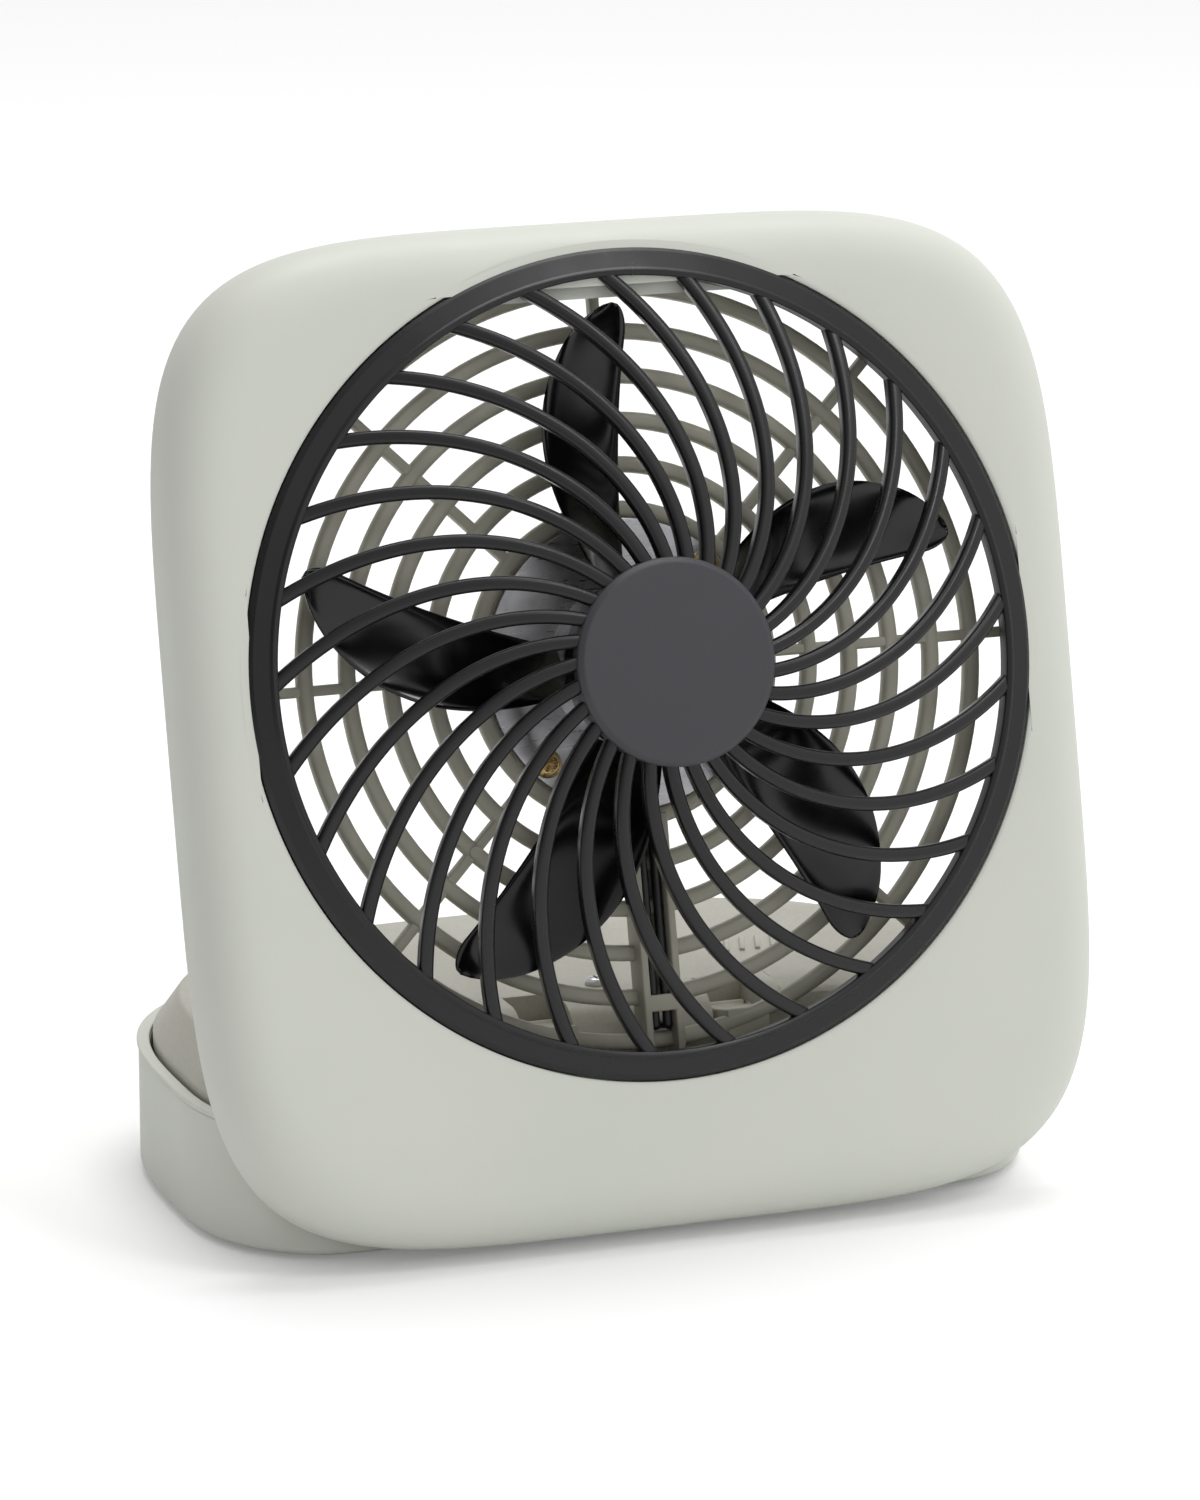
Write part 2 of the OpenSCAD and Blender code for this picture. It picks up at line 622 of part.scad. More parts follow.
module cells() {
    color(steel) in_stand() for (s = [-1, 0]) translate([cell_shift + s * cell_l, cell_y, cell_z])
        rotate([0, 90, 0]) {
            cylinder(d = cell_d, h = cell_l - 1.6);
            cylinder(d = 9.5, h = cell_l - 0.05);
        }
}
module plate_contact() {
    color(steel) in_stand() {
        translate([cell_l + cell_shift, cell_y - 9, cell_z - 8]) cube([contact_t, 18, 15]);
    }
}
spring_turns = 3;
spring_wire = 0.4;
spring_steps = 48;
spring_r0 = 7.6;
spring_r1 = 3.4;
function spring_r(t) = spring_r0 + (spring_r1 - spring_r0) * t;
spring_points = [for (i = [0:spring_steps], b = [0:5])
    let (t = i / spring_steps, a = 360 * spring_turns * t, q = 60 * b,
         r = spring_r(t) + spring_wire * cos(q), x = spring_wire + (spring_l - 2 * spring_wire) * t)
    [x + spring_wire * sin(q), r * cos(a), r * sin(a)]];
spring_faces = concat(
    [[for (b = [5:-1:0]) b]], [[for (b = [0:5]) spring_steps * 6 + b]],
    [for (i = [0:spring_steps - 1], b = [0:5])
        [i * 6 + b, i * 6 + (b + 1) % 6, i * 6 + 6 + (b + 1) % 6, i * 6 + 6 + b]]);
module spring_contact() {
    color(steel) in_stand() translate([-end_right, cell_y, cell_z]) {
        translate([0, -9, -8]) cube([contact_t - 0.02, 18, 15]);
        translate([contact_t - 0.1, 0, 0]) polyhedron(spring_points, spring_faces);
    }
}
module battery_door() {
    color(shell_grey) in_stand() {
        translate([-door_x + door_fit, door_y0 + door_fit, door_z])
            cube([door_x * 2 - door_fit * 2, door_y1 - door_y0 - door_fit * 2, door_t]);
        translate([-latch_x, door_y1 - 3, door_z + door_t - eps]) difference() {
            cube([latch_x * 2, 1.4, 6]);
            translate([latch_x - 5, -1, 2.5]) cube([10, 4, 2]);
        }
    }
}
module stand_screws() {
    color(steel) in_stand() at_stand_screws()
        translate([0, 0, foot_show + 3]) screw_z(2.8, 1.8, 1.25, boss_top - foot_show + 1.5, true);
}
foot_pts = [for (p = [[62, -20], [44, 56]], s = [-1, 1]) [s * p[0], stand_mid_y + p[1]]];
module feet() {
    color(rubber_black) in_stand() for (p = foot_pts) translate([p[0], p[1], 0]) cylinder(r = 4.5, h = foot_show);
}
switch_z = 12;
switch_front = stand_mid_y + stand_back - wall - 0.3;
module switch_body() {
    color(rubber_black) in_stand() difference() {
        translate([-9, switch_front - 6.5, switch_z - 4]) cube([18, 6.5, 8]);
        translate([-knob_travel - 2.4, switch_front - 3, switch_z - 2]) cube([knob_travel * 2 + 4.8, 4, 4]);
    }
}
module switch_knob() {
    color(grille_black) in_stand() {
        translate([-2, switch_front - 2.8, switch_z - 1.7]) cube([4, wall + 4, 3.4]);
        translate([-4, stand_mid_y + stand_back + 0.2, switch_z - 2.6]) cube([8, knob_out - 0.2, 5.2]);
    }
}
lead_floor = foot_show + floor_t + lead_r + 0.1;
lead_lane = cell_y - 25.5;
lead_side = end_right + end_wall_t + lead_r + 0.3;
function lead_route(k) = [[lead_x[k], hinge_y - 3, hinge_z - lug_r - 3.5],
    [lead_x[k], lead_lane, lead_floor + k * 1.8], [lead_side, lead_lane, lead_floor + k * 1.8],
    [lead_side, cell_y + 31, lead_floor + k * 1.8], [9.5, switch_front - 3.5, switch_z - 1 + k * 2]];
module stand_leads() {
    color(rubber_black) in_stand() for (k = [0, 1]) {
        route = lead_route(k);
        for (i = [0:len(route) - 2]) run(route[i], route[i + 1]);
        for (i = [1:len(route) - 2]) translate(route[i]) sphere(elbow_r);
    }
}

front_shell();
front_grille();
rear_shell();
motor_plate_screws();
case_screws();
motor();
motor_clamp();
motor_shaft();
impeller();
head_leads();
stand_tub();
stand_lid();
hinge_block();
lid_screws();
hinge_pin();
hinge_washers();
cells();
spring_contact();
plate_contact();
battery_door();
stand_screws();
feet();
switch_body();
switch_knob();
stand_leads();
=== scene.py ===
"""Looks of a folding battery fan: pillowed square head, swirl grille, five-bladed impeller, D-shaped stand.

Every piece is modelled in millimetres, in the frame of the head or of the stand, and one matrix sets it
in place.
"""

import json
import logging
import math
from dataclasses import dataclass, field
from enum import Enum
from typing import Any, Callable, Sequence

import bmesh
import bpy
from mathutils import Matrix, Vector


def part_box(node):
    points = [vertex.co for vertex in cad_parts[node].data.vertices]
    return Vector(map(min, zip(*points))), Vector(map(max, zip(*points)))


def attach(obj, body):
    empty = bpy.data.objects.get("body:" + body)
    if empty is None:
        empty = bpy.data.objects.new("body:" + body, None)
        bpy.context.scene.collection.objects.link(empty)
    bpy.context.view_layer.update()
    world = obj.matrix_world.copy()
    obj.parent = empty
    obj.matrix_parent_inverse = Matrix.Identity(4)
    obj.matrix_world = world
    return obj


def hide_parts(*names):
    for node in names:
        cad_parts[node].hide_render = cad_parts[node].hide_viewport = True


LOG = logging.getLogger("fan")
MM = 0.001
Pair = tuple[float, float]
Triple = tuple[float, float, float]
Outline = Callable[[float, float], float]
# Length of the rays that look for an outline, and how often each is halved to find it.
RAY_MM, RAY_HALVINGS = 400.0, 40
# A colour Mix node keeps its two colours at these inputs.
MIX_A, MIX_B = 6, 7

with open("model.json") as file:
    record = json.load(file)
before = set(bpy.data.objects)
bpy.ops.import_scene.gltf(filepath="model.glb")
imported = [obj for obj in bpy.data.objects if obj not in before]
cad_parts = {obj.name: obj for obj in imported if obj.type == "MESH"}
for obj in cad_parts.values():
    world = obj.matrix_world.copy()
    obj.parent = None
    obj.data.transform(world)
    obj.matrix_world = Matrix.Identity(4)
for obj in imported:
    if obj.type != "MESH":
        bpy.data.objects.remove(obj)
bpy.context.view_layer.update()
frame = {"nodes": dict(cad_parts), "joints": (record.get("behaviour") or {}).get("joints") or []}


class Body(str, Enum):
    """The parts that move as one."""

    STAND = "stand"
    HEAD = "head"
    ROTOR = "rotor"
    DOOR = "door"
    KNOB = "knob"


class Slot(str, Enum):
    """Names for the part's finish slots; nothing in this script reads them."""

    SHELL = "shell_plastic"
    BACK = "back_plastic"
    GRILLE = "grille_plastic"
    BLADE = "blade_plastic"
    ZINC = "zinc_steel"
    BRASS = "brass_screw"
    WRAP = "cell_wrap"
    RUBBER = "foot_rubber"


# ------------------------------------------------------------------ node and colour helpers
def linear(colour: str) -> tuple[float, float, float, float]:
    """Turn an sRGB hex colour to linear.

    Args:
        colour: six hex digits, with or without a leading #.

    Returns:
        Linear red, green and blue, and an alpha of 1.
    """
    digits = colour.lstrip("#")
    parts = [int(digits[i:i + 2], 16) / 255 for i in (0, 2, 4)]
    red, green, blue = (c / 12.92 if c <= 0.04045 else ((c + 0.055) / 1.055) ** 2.4 for c in parts)
    return red, green, blue, 1.0


def add(tree: bpy.types.NodeTree, kind: str, inputs: dict[Any, Any] | None = None,
        **settings: Any) -> bpy.types.Node:
    """Add one node with its settings, its values and its incoming links.

    Args:
        tree: the node tree that it goes in.
        kind: the node's type name.
        inputs: input name or number to a value, or to the output socket that feeds it.
        settings: properties of the node.

    Returns:
        The new node.
    """
    node = tree.nodes.new(kind)
    for name, value in settings.items():
        setattr(node, name, value)
    for key, value in (inputs or {}).items():
        if isinstance(value, bpy.types.NodeSocket):
            tree.links.new(value, node.inputs[key])
        else:
            node.inputs[key].default_value = value
    return node


def new_material(name: str) -> bpy.types.Material:
    """Start a material with an empty node tree.

    Args:
        name: the material's name.

    Returns:
        The material.
    """
    material = bpy.data.materials.new(name)
    material.use_nodes = True
    material.node_tree.nodes.clear()
    return material


def per_mm(size_mm: float) -> float:
    """Noise scale, per metre, of a pattern whose features are size_mm across."""
    return 1 / (size_mm * MM)


# ------------------------------------------------------------------ finishes
@dataclass(frozen=True)
class Moulding:
    """An injection-moulded plastic: its spark-eroded grain, slight colour drift and gloss, and, where asked,
    glints painted into its colour as paler and darker specks.
    """

    name: str
    colour: str
    drift: str
    roughness: float
    grain_mm: float
    grain_depth_mm: float
    roughness_spread: float = 0.06
    drift_mm: float = 34.0
    # Share of the colour that the grain moves to paint glints as specks; 0 paints none.
    painted_glint: float = 0.0
    ior: float = 1.53

    def build(self) -> bpy.types.Material:
        """Build the material.

        Returns:
            The finished material.
        """
        material = new_material(self.name)
        tree = material.node_tree
        place = add(tree, "ShaderNodeTexCoord").outputs["Object"]
        cloud = add(tree, "ShaderNodeTexNoise",
                    {"Vector": place, "Scale": per_mm(self.drift_mm), "Detail": 2.0})
        grain = add(tree, "ShaderNodeTexNoise",
                    {"Vector": place, "Scale": per_mm(self.grain_mm), "Detail": 3.0, "Roughness": 0.62})
        # Painted glints: the grain noise also shifts the colour paler and darker in small specks, as far as
        # the glint share.
        share = add(tree, "ShaderNodeMapRange",
                    {"Value": grain.outputs["Fac"], "From Min": 0.35, "From Max": 0.65,
                     "To Min": -self.painted_glint, "To Max": self.painted_glint})
        drift_and_glint = add(tree, "ShaderNodeMath", {0: cloud.outputs["Fac"], 1: share.outputs["Result"]},
                    operation="ADD", use_clamp=True)
        colour = add(tree, "ShaderNodeMix",
                     {"Factor": drift_and_glint.outputs[0], MIX_A: linear(self.colour), MIX_B: linear(self.drift)},
                     data_type="RGBA")
        smear = add(tree, "ShaderNodeTexNoise",
                    {"Vector": place, "Scale": per_mm(self.drift_mm / 4), "Detail": 4.0})
        gloss = add(tree, "ShaderNodeMapRange",
                    {"Value": smear.outputs["Fac"], "From Min": 0.3, "From Max": 0.7,
                     "To Min": self.roughness - self.roughness_spread,
                     "To Max": self.roughness + self.roughness_spread})
        bump = add(tree, "ShaderNodeBump",
                   {"Height": grain.outputs["Fac"], "Distance": self.grain_depth_mm * MM, "Strength": 1.0})
        shader = add(tree, "ShaderNodeBsdfPrincipled",
                     {"Base Color": colour.outputs[2], "Roughness": gloss.outputs["Result"],
                      "Normal": bump.outputs["Normal"], "IOR": self.ior})
        add(tree, "ShaderNodeOutputMaterial", {"Surface": shader.outputs["BSDF"]})
        return material


@dataclass(frozen=True)
class PlatedSteel:
    """A plated steel: bright or yellow, with drawn lines and faint tarnish."""

    name: str
    colour: str
    tarnish: str
    roughness: float
    line_mm: float
    line_depth_mm: float = 0.012
    tarnish_mm: float = 3.0
    along: Triple = (0.08, 1.0, 1.0)

    def build(self) -> bpy.types.Material:
        """Build the material.

        Returns:
            The finished material.
        """
        material = new_material(self.name)
        tree = material.node_tree
        place = add(tree, "ShaderNodeTexCoord").outputs["Object"]
        drawn = add(tree, "ShaderNodeMapping", {"Vector": place, "Scale": self.along})
        lines = add(tree, "ShaderNodeTexNoise",
                    {"Vector": drawn.outputs["Vector"], "Scale": per_mm(self.line_mm), "Detail": 4.0})
        cloud = add(tree, "ShaderNodeTexNoise",
                    {"Vector": place, "Scale": per_mm(self.tarnish_mm), "Detail": 3.0})
        fade = add(tree, "ShaderNodeMapRange",
                   {"Value": cloud.outputs["Fac"], "From Min": 0.45, "From Max": 0.75, "To Max": 0.8})
        colour = add(tree, "ShaderNodeMix",
                     {"Factor": fade.outputs["Result"], MIX_A: linear(self.colour),
                      MIX_B: linear(self.tarnish)}, data_type="RGBA")
        gloss = add(tree, "ShaderNodeMapRange",
                    {"Value": lines.outputs["Fac"], "From Min": 0.3, "From Max": 0.7,
                     "To Min": self.roughness * 0.7, "To Max": self.roughness * 1.4})
        bump = add(tree, "ShaderNodeBump",
                   {"Height": lines.outputs["Fac"], "Distance": self.line_depth_mm * MM, "Strength": 1.0})
        shader = add(tree, "ShaderNodeBsdfPrincipled",
                     {"Base Color": colour.outputs[2], "Metallic": 1.0, "Roughness": gloss.outputs["Result"],
                      "Normal": bump.outputs["Normal"]})
        add(tree, "ShaderNodeOutputMaterial", {"Surface": shader.outputs["BSDF"]})
        return material


@dataclass(frozen=True)
class CellWrap:
    """The printed film on a dry cell: a dark sleeve with a metallic band at one end."""

    name: str
    sleeve: str
    band: str
    cell_mm: float
    band_share: float
    start_mm: float
    band_metal: float = 0.8
    wrinkle_mm: float = 4.0
    wrinkle_depth_mm: float = 0.05

    def build(self) -> bpy.types.Material:
        """Build the material.

        Returns:
            The finished material.
        """
        material = new_material(self.name)
        tree = material.node_tree
        place = add(tree, "ShaderNodeTexCoord").outputs["Object"]
        across = add(tree, "ShaderNodeSeparateXYZ", {"Vector": place}).outputs["X"]
        moved = add(tree, "ShaderNodeMath", {0: across, 1: self.start_mm * MM}, operation="SUBTRACT")
        turns = add(tree, "ShaderNodeMath", {0: moved.outputs[0], 1: self.cell_mm * MM}, operation="DIVIDE")
        share = add(tree, "ShaderNodeMath", {0: turns.outputs[0]}, operation="FRACT")
        is_band = add(tree, "ShaderNodeMath", {0: share.outputs[0], 1: 1 - self.band_share},
                      operation="GREATER_THAN")
        colour = add(tree, "ShaderNodeMix",
                     {"Factor": is_band.outputs[0], MIX_A: linear(self.sleeve), MIX_B: linear(self.band)},
                     data_type="RGBA")
        wrinkle = add(tree, "ShaderNodeTexNoise",
                      {"Vector": place, "Scale": per_mm(self.wrinkle_mm), "Detail": 2.0})
        depth = self.wrinkle_depth_mm * MM
        bump = add(tree, "ShaderNodeBump",
                   {"Height": wrinkle.outputs["Fac"], "Distance": depth, "Strength": 1.0})
        metal = add(tree, "ShaderNodeMath", {0: is_band.outputs[0], 1: self.band_metal}, operation="MULTIPLY")
        shader = add(tree, "ShaderNodeBsdfPrincipled",
                     {"Base Color": colour.outputs[2], "Metallic": metal.outputs[0], "Roughness": 0.3,
                      "Normal": bump.outputs["Normal"]})
        add(tree, "ShaderNodeOutputMaterial", {"Surface": shader.outputs["BSDF"]})
        return material


# ABS from a spark-eroded tool: fine matt pits that soften every reflection. The real pits are about
# 0.1 mm apart, too fine to show, so they are drawn 0.5 mm apart.
SHELL_ABS = Moulding("moulded_abs_stone_grey", "#CBCEC5", "#D3D5CC", 0.50, 0.5, 0.012)
# The rear half and the stand's lid are a warmer, slightly darker batch of the same ABS.
BACK_ABS = Moulding("moulded_abs_warm_grey", "#A6A495", "#AEAC9D", 0.48, 0.5, 0.012)
# The lid's top is coarsely textured in the tool; its small glints are painted: the grain noise pushes the
# colour into paler and darker specks.
LID_ABS = Moulding("textured_abs_warm_grey", "#ADAA9C", "#B9B8AE", 0.46, 0.8, 0.03, painted_glint=0.25)
# Carbon-filled ABS, satin: the grille's bars keep a soft ridge highlight.
GRILLE_ABS = Moulding("satin_abs_charcoal", "#121214", "#171719", 0.30, 0.6, 0.010, ior=1.45)
# The hub disc's face has its own coarser tool texture, which makes it paler and duller than the bars.
DISC_ABS = Moulding("textured_abs_charcoal", "#35353A", "#3B3B40", 0.52, 0.55, 0.03)
# Styrene from a polished tool: almost black, with sharp highlights and only a long, low flow ripple.
BLADE_STYRENE = Moulding("polished_styrene_black", "#050506", "#08080A", 0.16, 9.0, 0.02,
                         roughness_spread=0.04, ior=1.5)
# Bright zinc plate on drawn steel: cool grey with faint lines along the drawing.
ZINC = PlatedSteel("zinc_plated_steel", "#CFCFD2", "#B9B9BC", 0.34, 0.35)
# Yellow-passivated plate on the motor plate's screws, which reads as brass.
YELLOW_ZINC = PlatedSteel("yellow_passivated_steel", "#C9B07A", "#A58A55", 0.24, 0.3)
# Cell sleeve: a plain glossy film with a copper-coloured band at the positive end.
CELL_FILM = CellWrap("dry_cell_film", "#22252A", "#B87A4B", 60.6, 0.28, -58.6)
# Plasticised PVC on the leads, with a faint wavy skin from the extruder.
LEAD_PVC = Moulding("extruded_pvc_black", "#0D0D0E", "#141415", 0.38, 1.2, 0.02)
# Moulded rubber of the feet: dull and a little dusty.
FOOT_RUBBER = Moulding("moulded_rubber_black", "#151515", "#262625", 0.78, 0.6, 0.03)


# ------------------------------------------------------------------ mesh helpers
def power_outline(half_w: float, half_h: float, power: float, middle: Pair) -> Outline:
    """An outline between an ellipse and a rectangle, as a function that is 1 on it and less inside.

    Args:
        half_w: half its width.
        half_h: half its height.
        power: 2 for an ellipse, higher for squarer.
        middle: its centre.

    Returns:
        The function of a point's two coordinates.
    """
    def reach(x: float, y: float) -> float:
        across, along = abs(x - middle[0]) / half_w, abs(y - middle[1]) / half_h
        return (across ** power + along ** power) ** (1 / power)
    return reach


def ray_ring(reach: Outline, centre: Pair, steps: int) -> list[Pair]:
    """Points where rays from a centre meet an outline.

    Args:
        reach: function that is 1 on the outline and less inside.
        centre: where the rays start, inside the outline.
        steps: number of rays, evenly turned.

    Returns:
        The points, counterclockwise from +x.
    """
    points = []
    for i in range(steps):
        turn = 2 * math.pi * i / steps
        cos, sin = math.cos(turn), math.sin(turn)
        near, far = 0.0, RAY_MM
        for _ in range(RAY_HALVINGS):
            mid = (near + far) / 2
            if reach(centre[0] + mid * cos, centre[1] + mid * sin) < 1:
                near = mid
            else:
                far = mid
        points.append((centre[0] + near * cos, centre[1] + near * sin))
    return points


def filleted(corners: Sequence[tuple[float, ...]], closed: bool = True, steps: int = 5) -> list[Pair]:
    """Round the corners of a profile.

    Args:
        corners: (a, b) or (a, b, radius) for each corner.
        closed: whether the last corner joins the first.
        steps: segments in each arc.

    Returns:
        The profile's points with each radius as an arc.
    """
    out: list[Pair] = []
    count = len(corners)
    for i, corner in enumerate(corners):
        here = Vector(corner[:2])
        radius = corner[2] if len(corner) > 2 else 0.0
        if radius <= 0 or (not closed and i in (0, count - 1)):
            out.append((here.x, here.y))
            continue
        before = Vector(corners[i - 1][:2]) - here
        after = Vector(corners[(i + 1) % count][:2]) - here
        half = before.angle(after) / 2
        cut = min(radius / math.tan(half), before.length * 0.49, after.length * 0.49)
        radius = cut * math.tan(half)
        start, end = here + before.normalized() * cut, here + after.normalized() * cut
        middle = here + (before.normalized() + after.normalized()).normalized() * (radius / math.sin(half))
        spoke_a, spoke_b = start - middle, end - middle
        sweep = spoke_a.angle_signed(spoke_b)
        for k in range(steps + 1):
            turned = spoke_a.copy()
            turned.rotate(Matrix.Rotation(-sweep * k / steps, 2))
            out.append((middle.x + turned.x, middle.y + turned.y))
    return out


@dataclass
class Shape:
    """Points and faces gathered for one mesh, in millimetres in its own frame."""

    points: list[Triple] = field(default_factory=list)
    faces: list[tuple[int, ...]] = field(default_factory=list)

    def loft(self, rings: Sequence[Sequence[Triple]], wrap: bool = False, caps: bool = False) -> "Shape":
        """Join rings of equal length by quads.

        Args:
            rings: the rings, in order.
            wrap: whether the last ring joins the first, as round a tube bent into a loop.
            caps: whether to close the first and last ring with a face.

        Returns:
            This shape.
        """
        base, size = len(self.points), len(rings[0])
        for ring in rings:
            self.points.extend(ring)
        for i in range(len(rings) if wrap else len(rings) - 1):
            low, high = base + i * size, base + (i + 1) % len(rings) * size
            for k in range(size):
                step = (k + 1) % size
                self.faces.append((low + k, low + step, high + step, high + k))
        if caps:
            self.faces.append(tuple(range(base + size - 1, base - 1, -1)))
            top = base + (len(rings) - 1) * size
            self.faces.append(tuple(range(top, top + size)))
        return self

    def turned(self, profile: Sequence[Pair], steps: int = 128, closed: bool = True) -> "Shape":
        """Turn a profile about the y axis, as on a lathe.

        Args:
            profile: (radius, y) points. An open profile starts and ends on the axis.
            steps: segments round the axis.
            closed: whether the profile is a closed loop.

        Returns:
            This shape.
        """
        rings = []
        for radius, depth in profile:
            turns = [2 * math.pi * k / steps for k in range(steps)]
            rings.append([(radius * math.cos(t), depth, radius * math.sin(t)) for t in turns])
        return self.loft(rings, wrap=closed)

    def slab(self, outline: Sequence[Pair], low: float, high: float, place: Matrix | None = None) -> "Shape":
        """Extrude an outline along z between two levels.

        Args:
            outline: (x, y) points of the outline.
            low: the lower level.
            high: the upper level.
            place: where the slab goes, if not where it is drawn.

        Returns:
            This shape.
        """
        move = place or Matrix.Identity(4)
        rings = [[tuple(move @ Vector((x, y, z))) for x, y in outline] for z in (low, high)]
        return self.loft(rings, caps=True)

    def box(self, low: Triple, high: Triple) -> "Shape":
        """Add a plain block between two corners.

        Args:
            low: the lowest corner.
            high: the highest corner.

        Returns:
            This shape.
        """
        outline = [(low[0], low[1]), (high[0], low[1]), (high[0], high[1]), (low[0], high[1])]
        return self.slab(outline, low[2], high[2])

    def mesh(self, name: str) -> bpy.types.Mesh:
        """Make the mesh: doubles merged, then faces turned outwards.

        Args:
            name: the mesh's name.

        Returns:
            The mesh, in the shape's own frame.
        """
        made = bpy.data.meshes.new(name)
        made.from_pydata([tuple(p) for p in self.points], [], self.faces)
        tidy_mesh(made)
        return made


def tidy_mesh(mesh: bpy.types.Mesh, gap: float = 1e-4) -> None:
    """Merge doubles, drop flat faces and turn all faces outwards.

    Args:
        mesh: the mesh to change.
        gap: the largest distance between doubles.
    """
    work = bmesh.new()
    work.from_mesh(mesh)
    bmesh.ops.remove_doubles(work, verts=work.verts, dist=gap)
    bmesh.ops.dissolve_degenerate(work, edges=work.edges, dist=gap)
    bmesh.ops.recalc_face_normals(work, faces=work.faces)
    work.to_mesh(mesh)
    work.free()


def settle(name: str, mesh: bpy.types.Mesh, kind: str, settings: dict[str, Any]) -> bpy.types.Mesh:
    """Run a mesh through a modifier and keep the result as a plain mesh.

    Args:
        name: the result's name.
        mesh: the mesh to start from.
        kind: the modifier's type.
        settings: the modifier's settings.

    Returns:
        The finished mesh.
    """
    host = bpy.data.objects.new(name + "_blank", mesh)
    bpy.context.scene.collection.objects.link(host)
    modifier = host.modifiers.new(kind.lower(), kind)
    for key, value in settings.items():
        setattr(modifier, key, value)
    graph = bpy.context.evaluated_depsgraph_get()
    done = bpy.data.meshes.new_from_object(host.evaluated_get(graph), depsgraph=graph)
    done.name = name
    host.modifiers.clear()
    bpy.data.objects.remove(host)
    return done


def cut_away(name: str, mesh: bpy.types.Mesh, cutter: bpy.types.Mesh) -> bpy.types.Mesh:
    """Cut one mesh out of another.

    Args:
        name: the result's name.
        mesh: what is cut.
        cutter: the closed mesh that is taken away.

    Returns:
        The cut mesh.
    """
    tool = bpy.data.objects.new(name + "_cutter", cutter)
    bpy.context.scene.collection.objects.link(tool)
    done = settle(name, mesh, "BOOLEAN", {"object": tool, "operation": "DIFFERENCE", "solver": "EXACT"})
    bpy.data.objects.remove(tool)
    return done


EDGE_SOFT = {"segments": 3, "limit_method": "ANGLE", "angle_limit": math.radians(35),
             "use_clamp_overlap": True, "harden_normals": False}


def softened(name: str, mesh: bpy.types.Mesh, radius: float = 0.3) -> bpy.types.Mesh:
    """Give a mesh the small moulded radius on its edges.

    Args:
        name: the result's name.
        mesh: the mesh, in millimetres.
        radius: the radius of the edges.

    Returns:
        The softened mesh.
    """
    return settle(name, mesh, "BEVEL", {**EDGE_SOFT, "width": radius})


def joined(name: str, parts: Sequence[bpy.types.Mesh]) -> bpy.types.Mesh:
    """Put several meshes in one, each kept as its own closed shell.

    Args:
        name: the result's name.
        parts: the meshes.

    Returns:
        One mesh that holds them all.
    """
    work = bmesh.new()
    for part in parts:
        work.from_mesh(part)
    done = bpy.data.meshes.new(name)
    work.to_mesh(done)
    work.free()
    return done


# ------------------------------------------------------------------ repeats, as node trees
def new_tree(name: str, sockets: Sequence[tuple[str, str]]) -> bpy.types.NodeTree:
    """Start a geometry tree with named inputs and one geometry output.

    Args:
        name: the tree's name.
        sockets: (name, socket type) of each input.

    Returns:
        The tree.
    """
    tree = bpy.data.node_groups.new(name, "GeometryNodeTree")
    for label, kind in sockets:
        tree.interface.new_socket(label, in_out="INPUT", socket_type=kind)
    tree.interface.new_socket("Geometry", in_out="OUTPUT", socket_type="NodeSocketGeometry")
    return tree


def close_tree(tree: bpy.types.NodeTree, geometry: bpy.types.NodeSocket,
               material: bpy.types.NodeSocket) -> None:
    """End a tree: instances made real, then the material set.

    Args:
        tree: the tree.
        geometry: what it has made.
        material: the group input that holds the material.
    """
    real = add(tree, "GeometryNodeRealizeInstances", {"Geometry": geometry})
    dressed = add(tree, "GeometryNodeSetMaterial", {"Geometry": real.outputs[0], "Material": material})
    add(tree, "NodeGroupOutput", {0: dressed.outputs[0]})


def round_tree() -> bpy.types.NodeTree:
    """Tree that copies its mesh evenly round the y axis.

    Returns:
        The tree, with inputs Geometry, Count, Material.
    """
    tree = new_tree("copies_round_axis", [("Geometry", "NodeSocketGeometry"), ("Count", "NodeSocketInt"),
                                          ("Material", "NodeSocketMaterial")])
    given = add(tree, "NodeGroupInput").outputs
    points = add(tree, "GeometryNodeMeshLine", {"Count": given["Count"], "Offset": (0, 0, 0)})
    step = add(tree, "ShaderNodeMath", {0: 2 * math.pi, 1: given["Count"]}, operation="DIVIDE")
    index = add(tree, "GeometryNodeInputIndex").outputs[0]
    turn = add(tree, "ShaderNodeMath", {0: index, 1: step.outputs[0]}, operation="MULTIPLY")
    spin = add(tree, "ShaderNodeCombineXYZ", {"Y": turn.outputs[0]})
    copies = add(tree, "GeometryNodeInstanceOnPoints",
                 {"Points": points.outputs[0], "Instance": given["Geometry"], "Rotation": spin.outputs[0]})
    close_tree(tree, copies.outputs[0], given["Material"])
    return tree


def places_tree() -> bpy.types.NodeTree:
    """Tree that sets a part at each vertex of its mesh, each turned a little further about y than the last.

    Returns:
        The tree, with inputs Geometry, Part, Turn, Material.
    """
    tree = new_tree("copies_at_places", [("Geometry", "NodeSocketGeometry"), ("Part", "NodeSocketObject"),
                                         ("Turn", "NodeSocketVector"), ("Material", "NodeSocketMaterial")])
    given = add(tree, "NodeGroupInput").outputs
    part = add(tree, "GeometryNodeObjectInfo", {"Object": given["Part"]})
    index = add(tree, "GeometryNodeInputIndex").outputs[0]
    spin = add(tree, "ShaderNodeVectorMath", {0: given["Turn"], "Scale": index}, operation="SCALE")
    copies = add(tree, "GeometryNodeInstanceOnPoints",
                 {"Points": given["Geometry"], "Instance": part.outputs["Geometry"],
                  "Rotation": spin.outputs[0]})
    close_tree(tree, copies.outputs[0], given["Material"])
    return tree


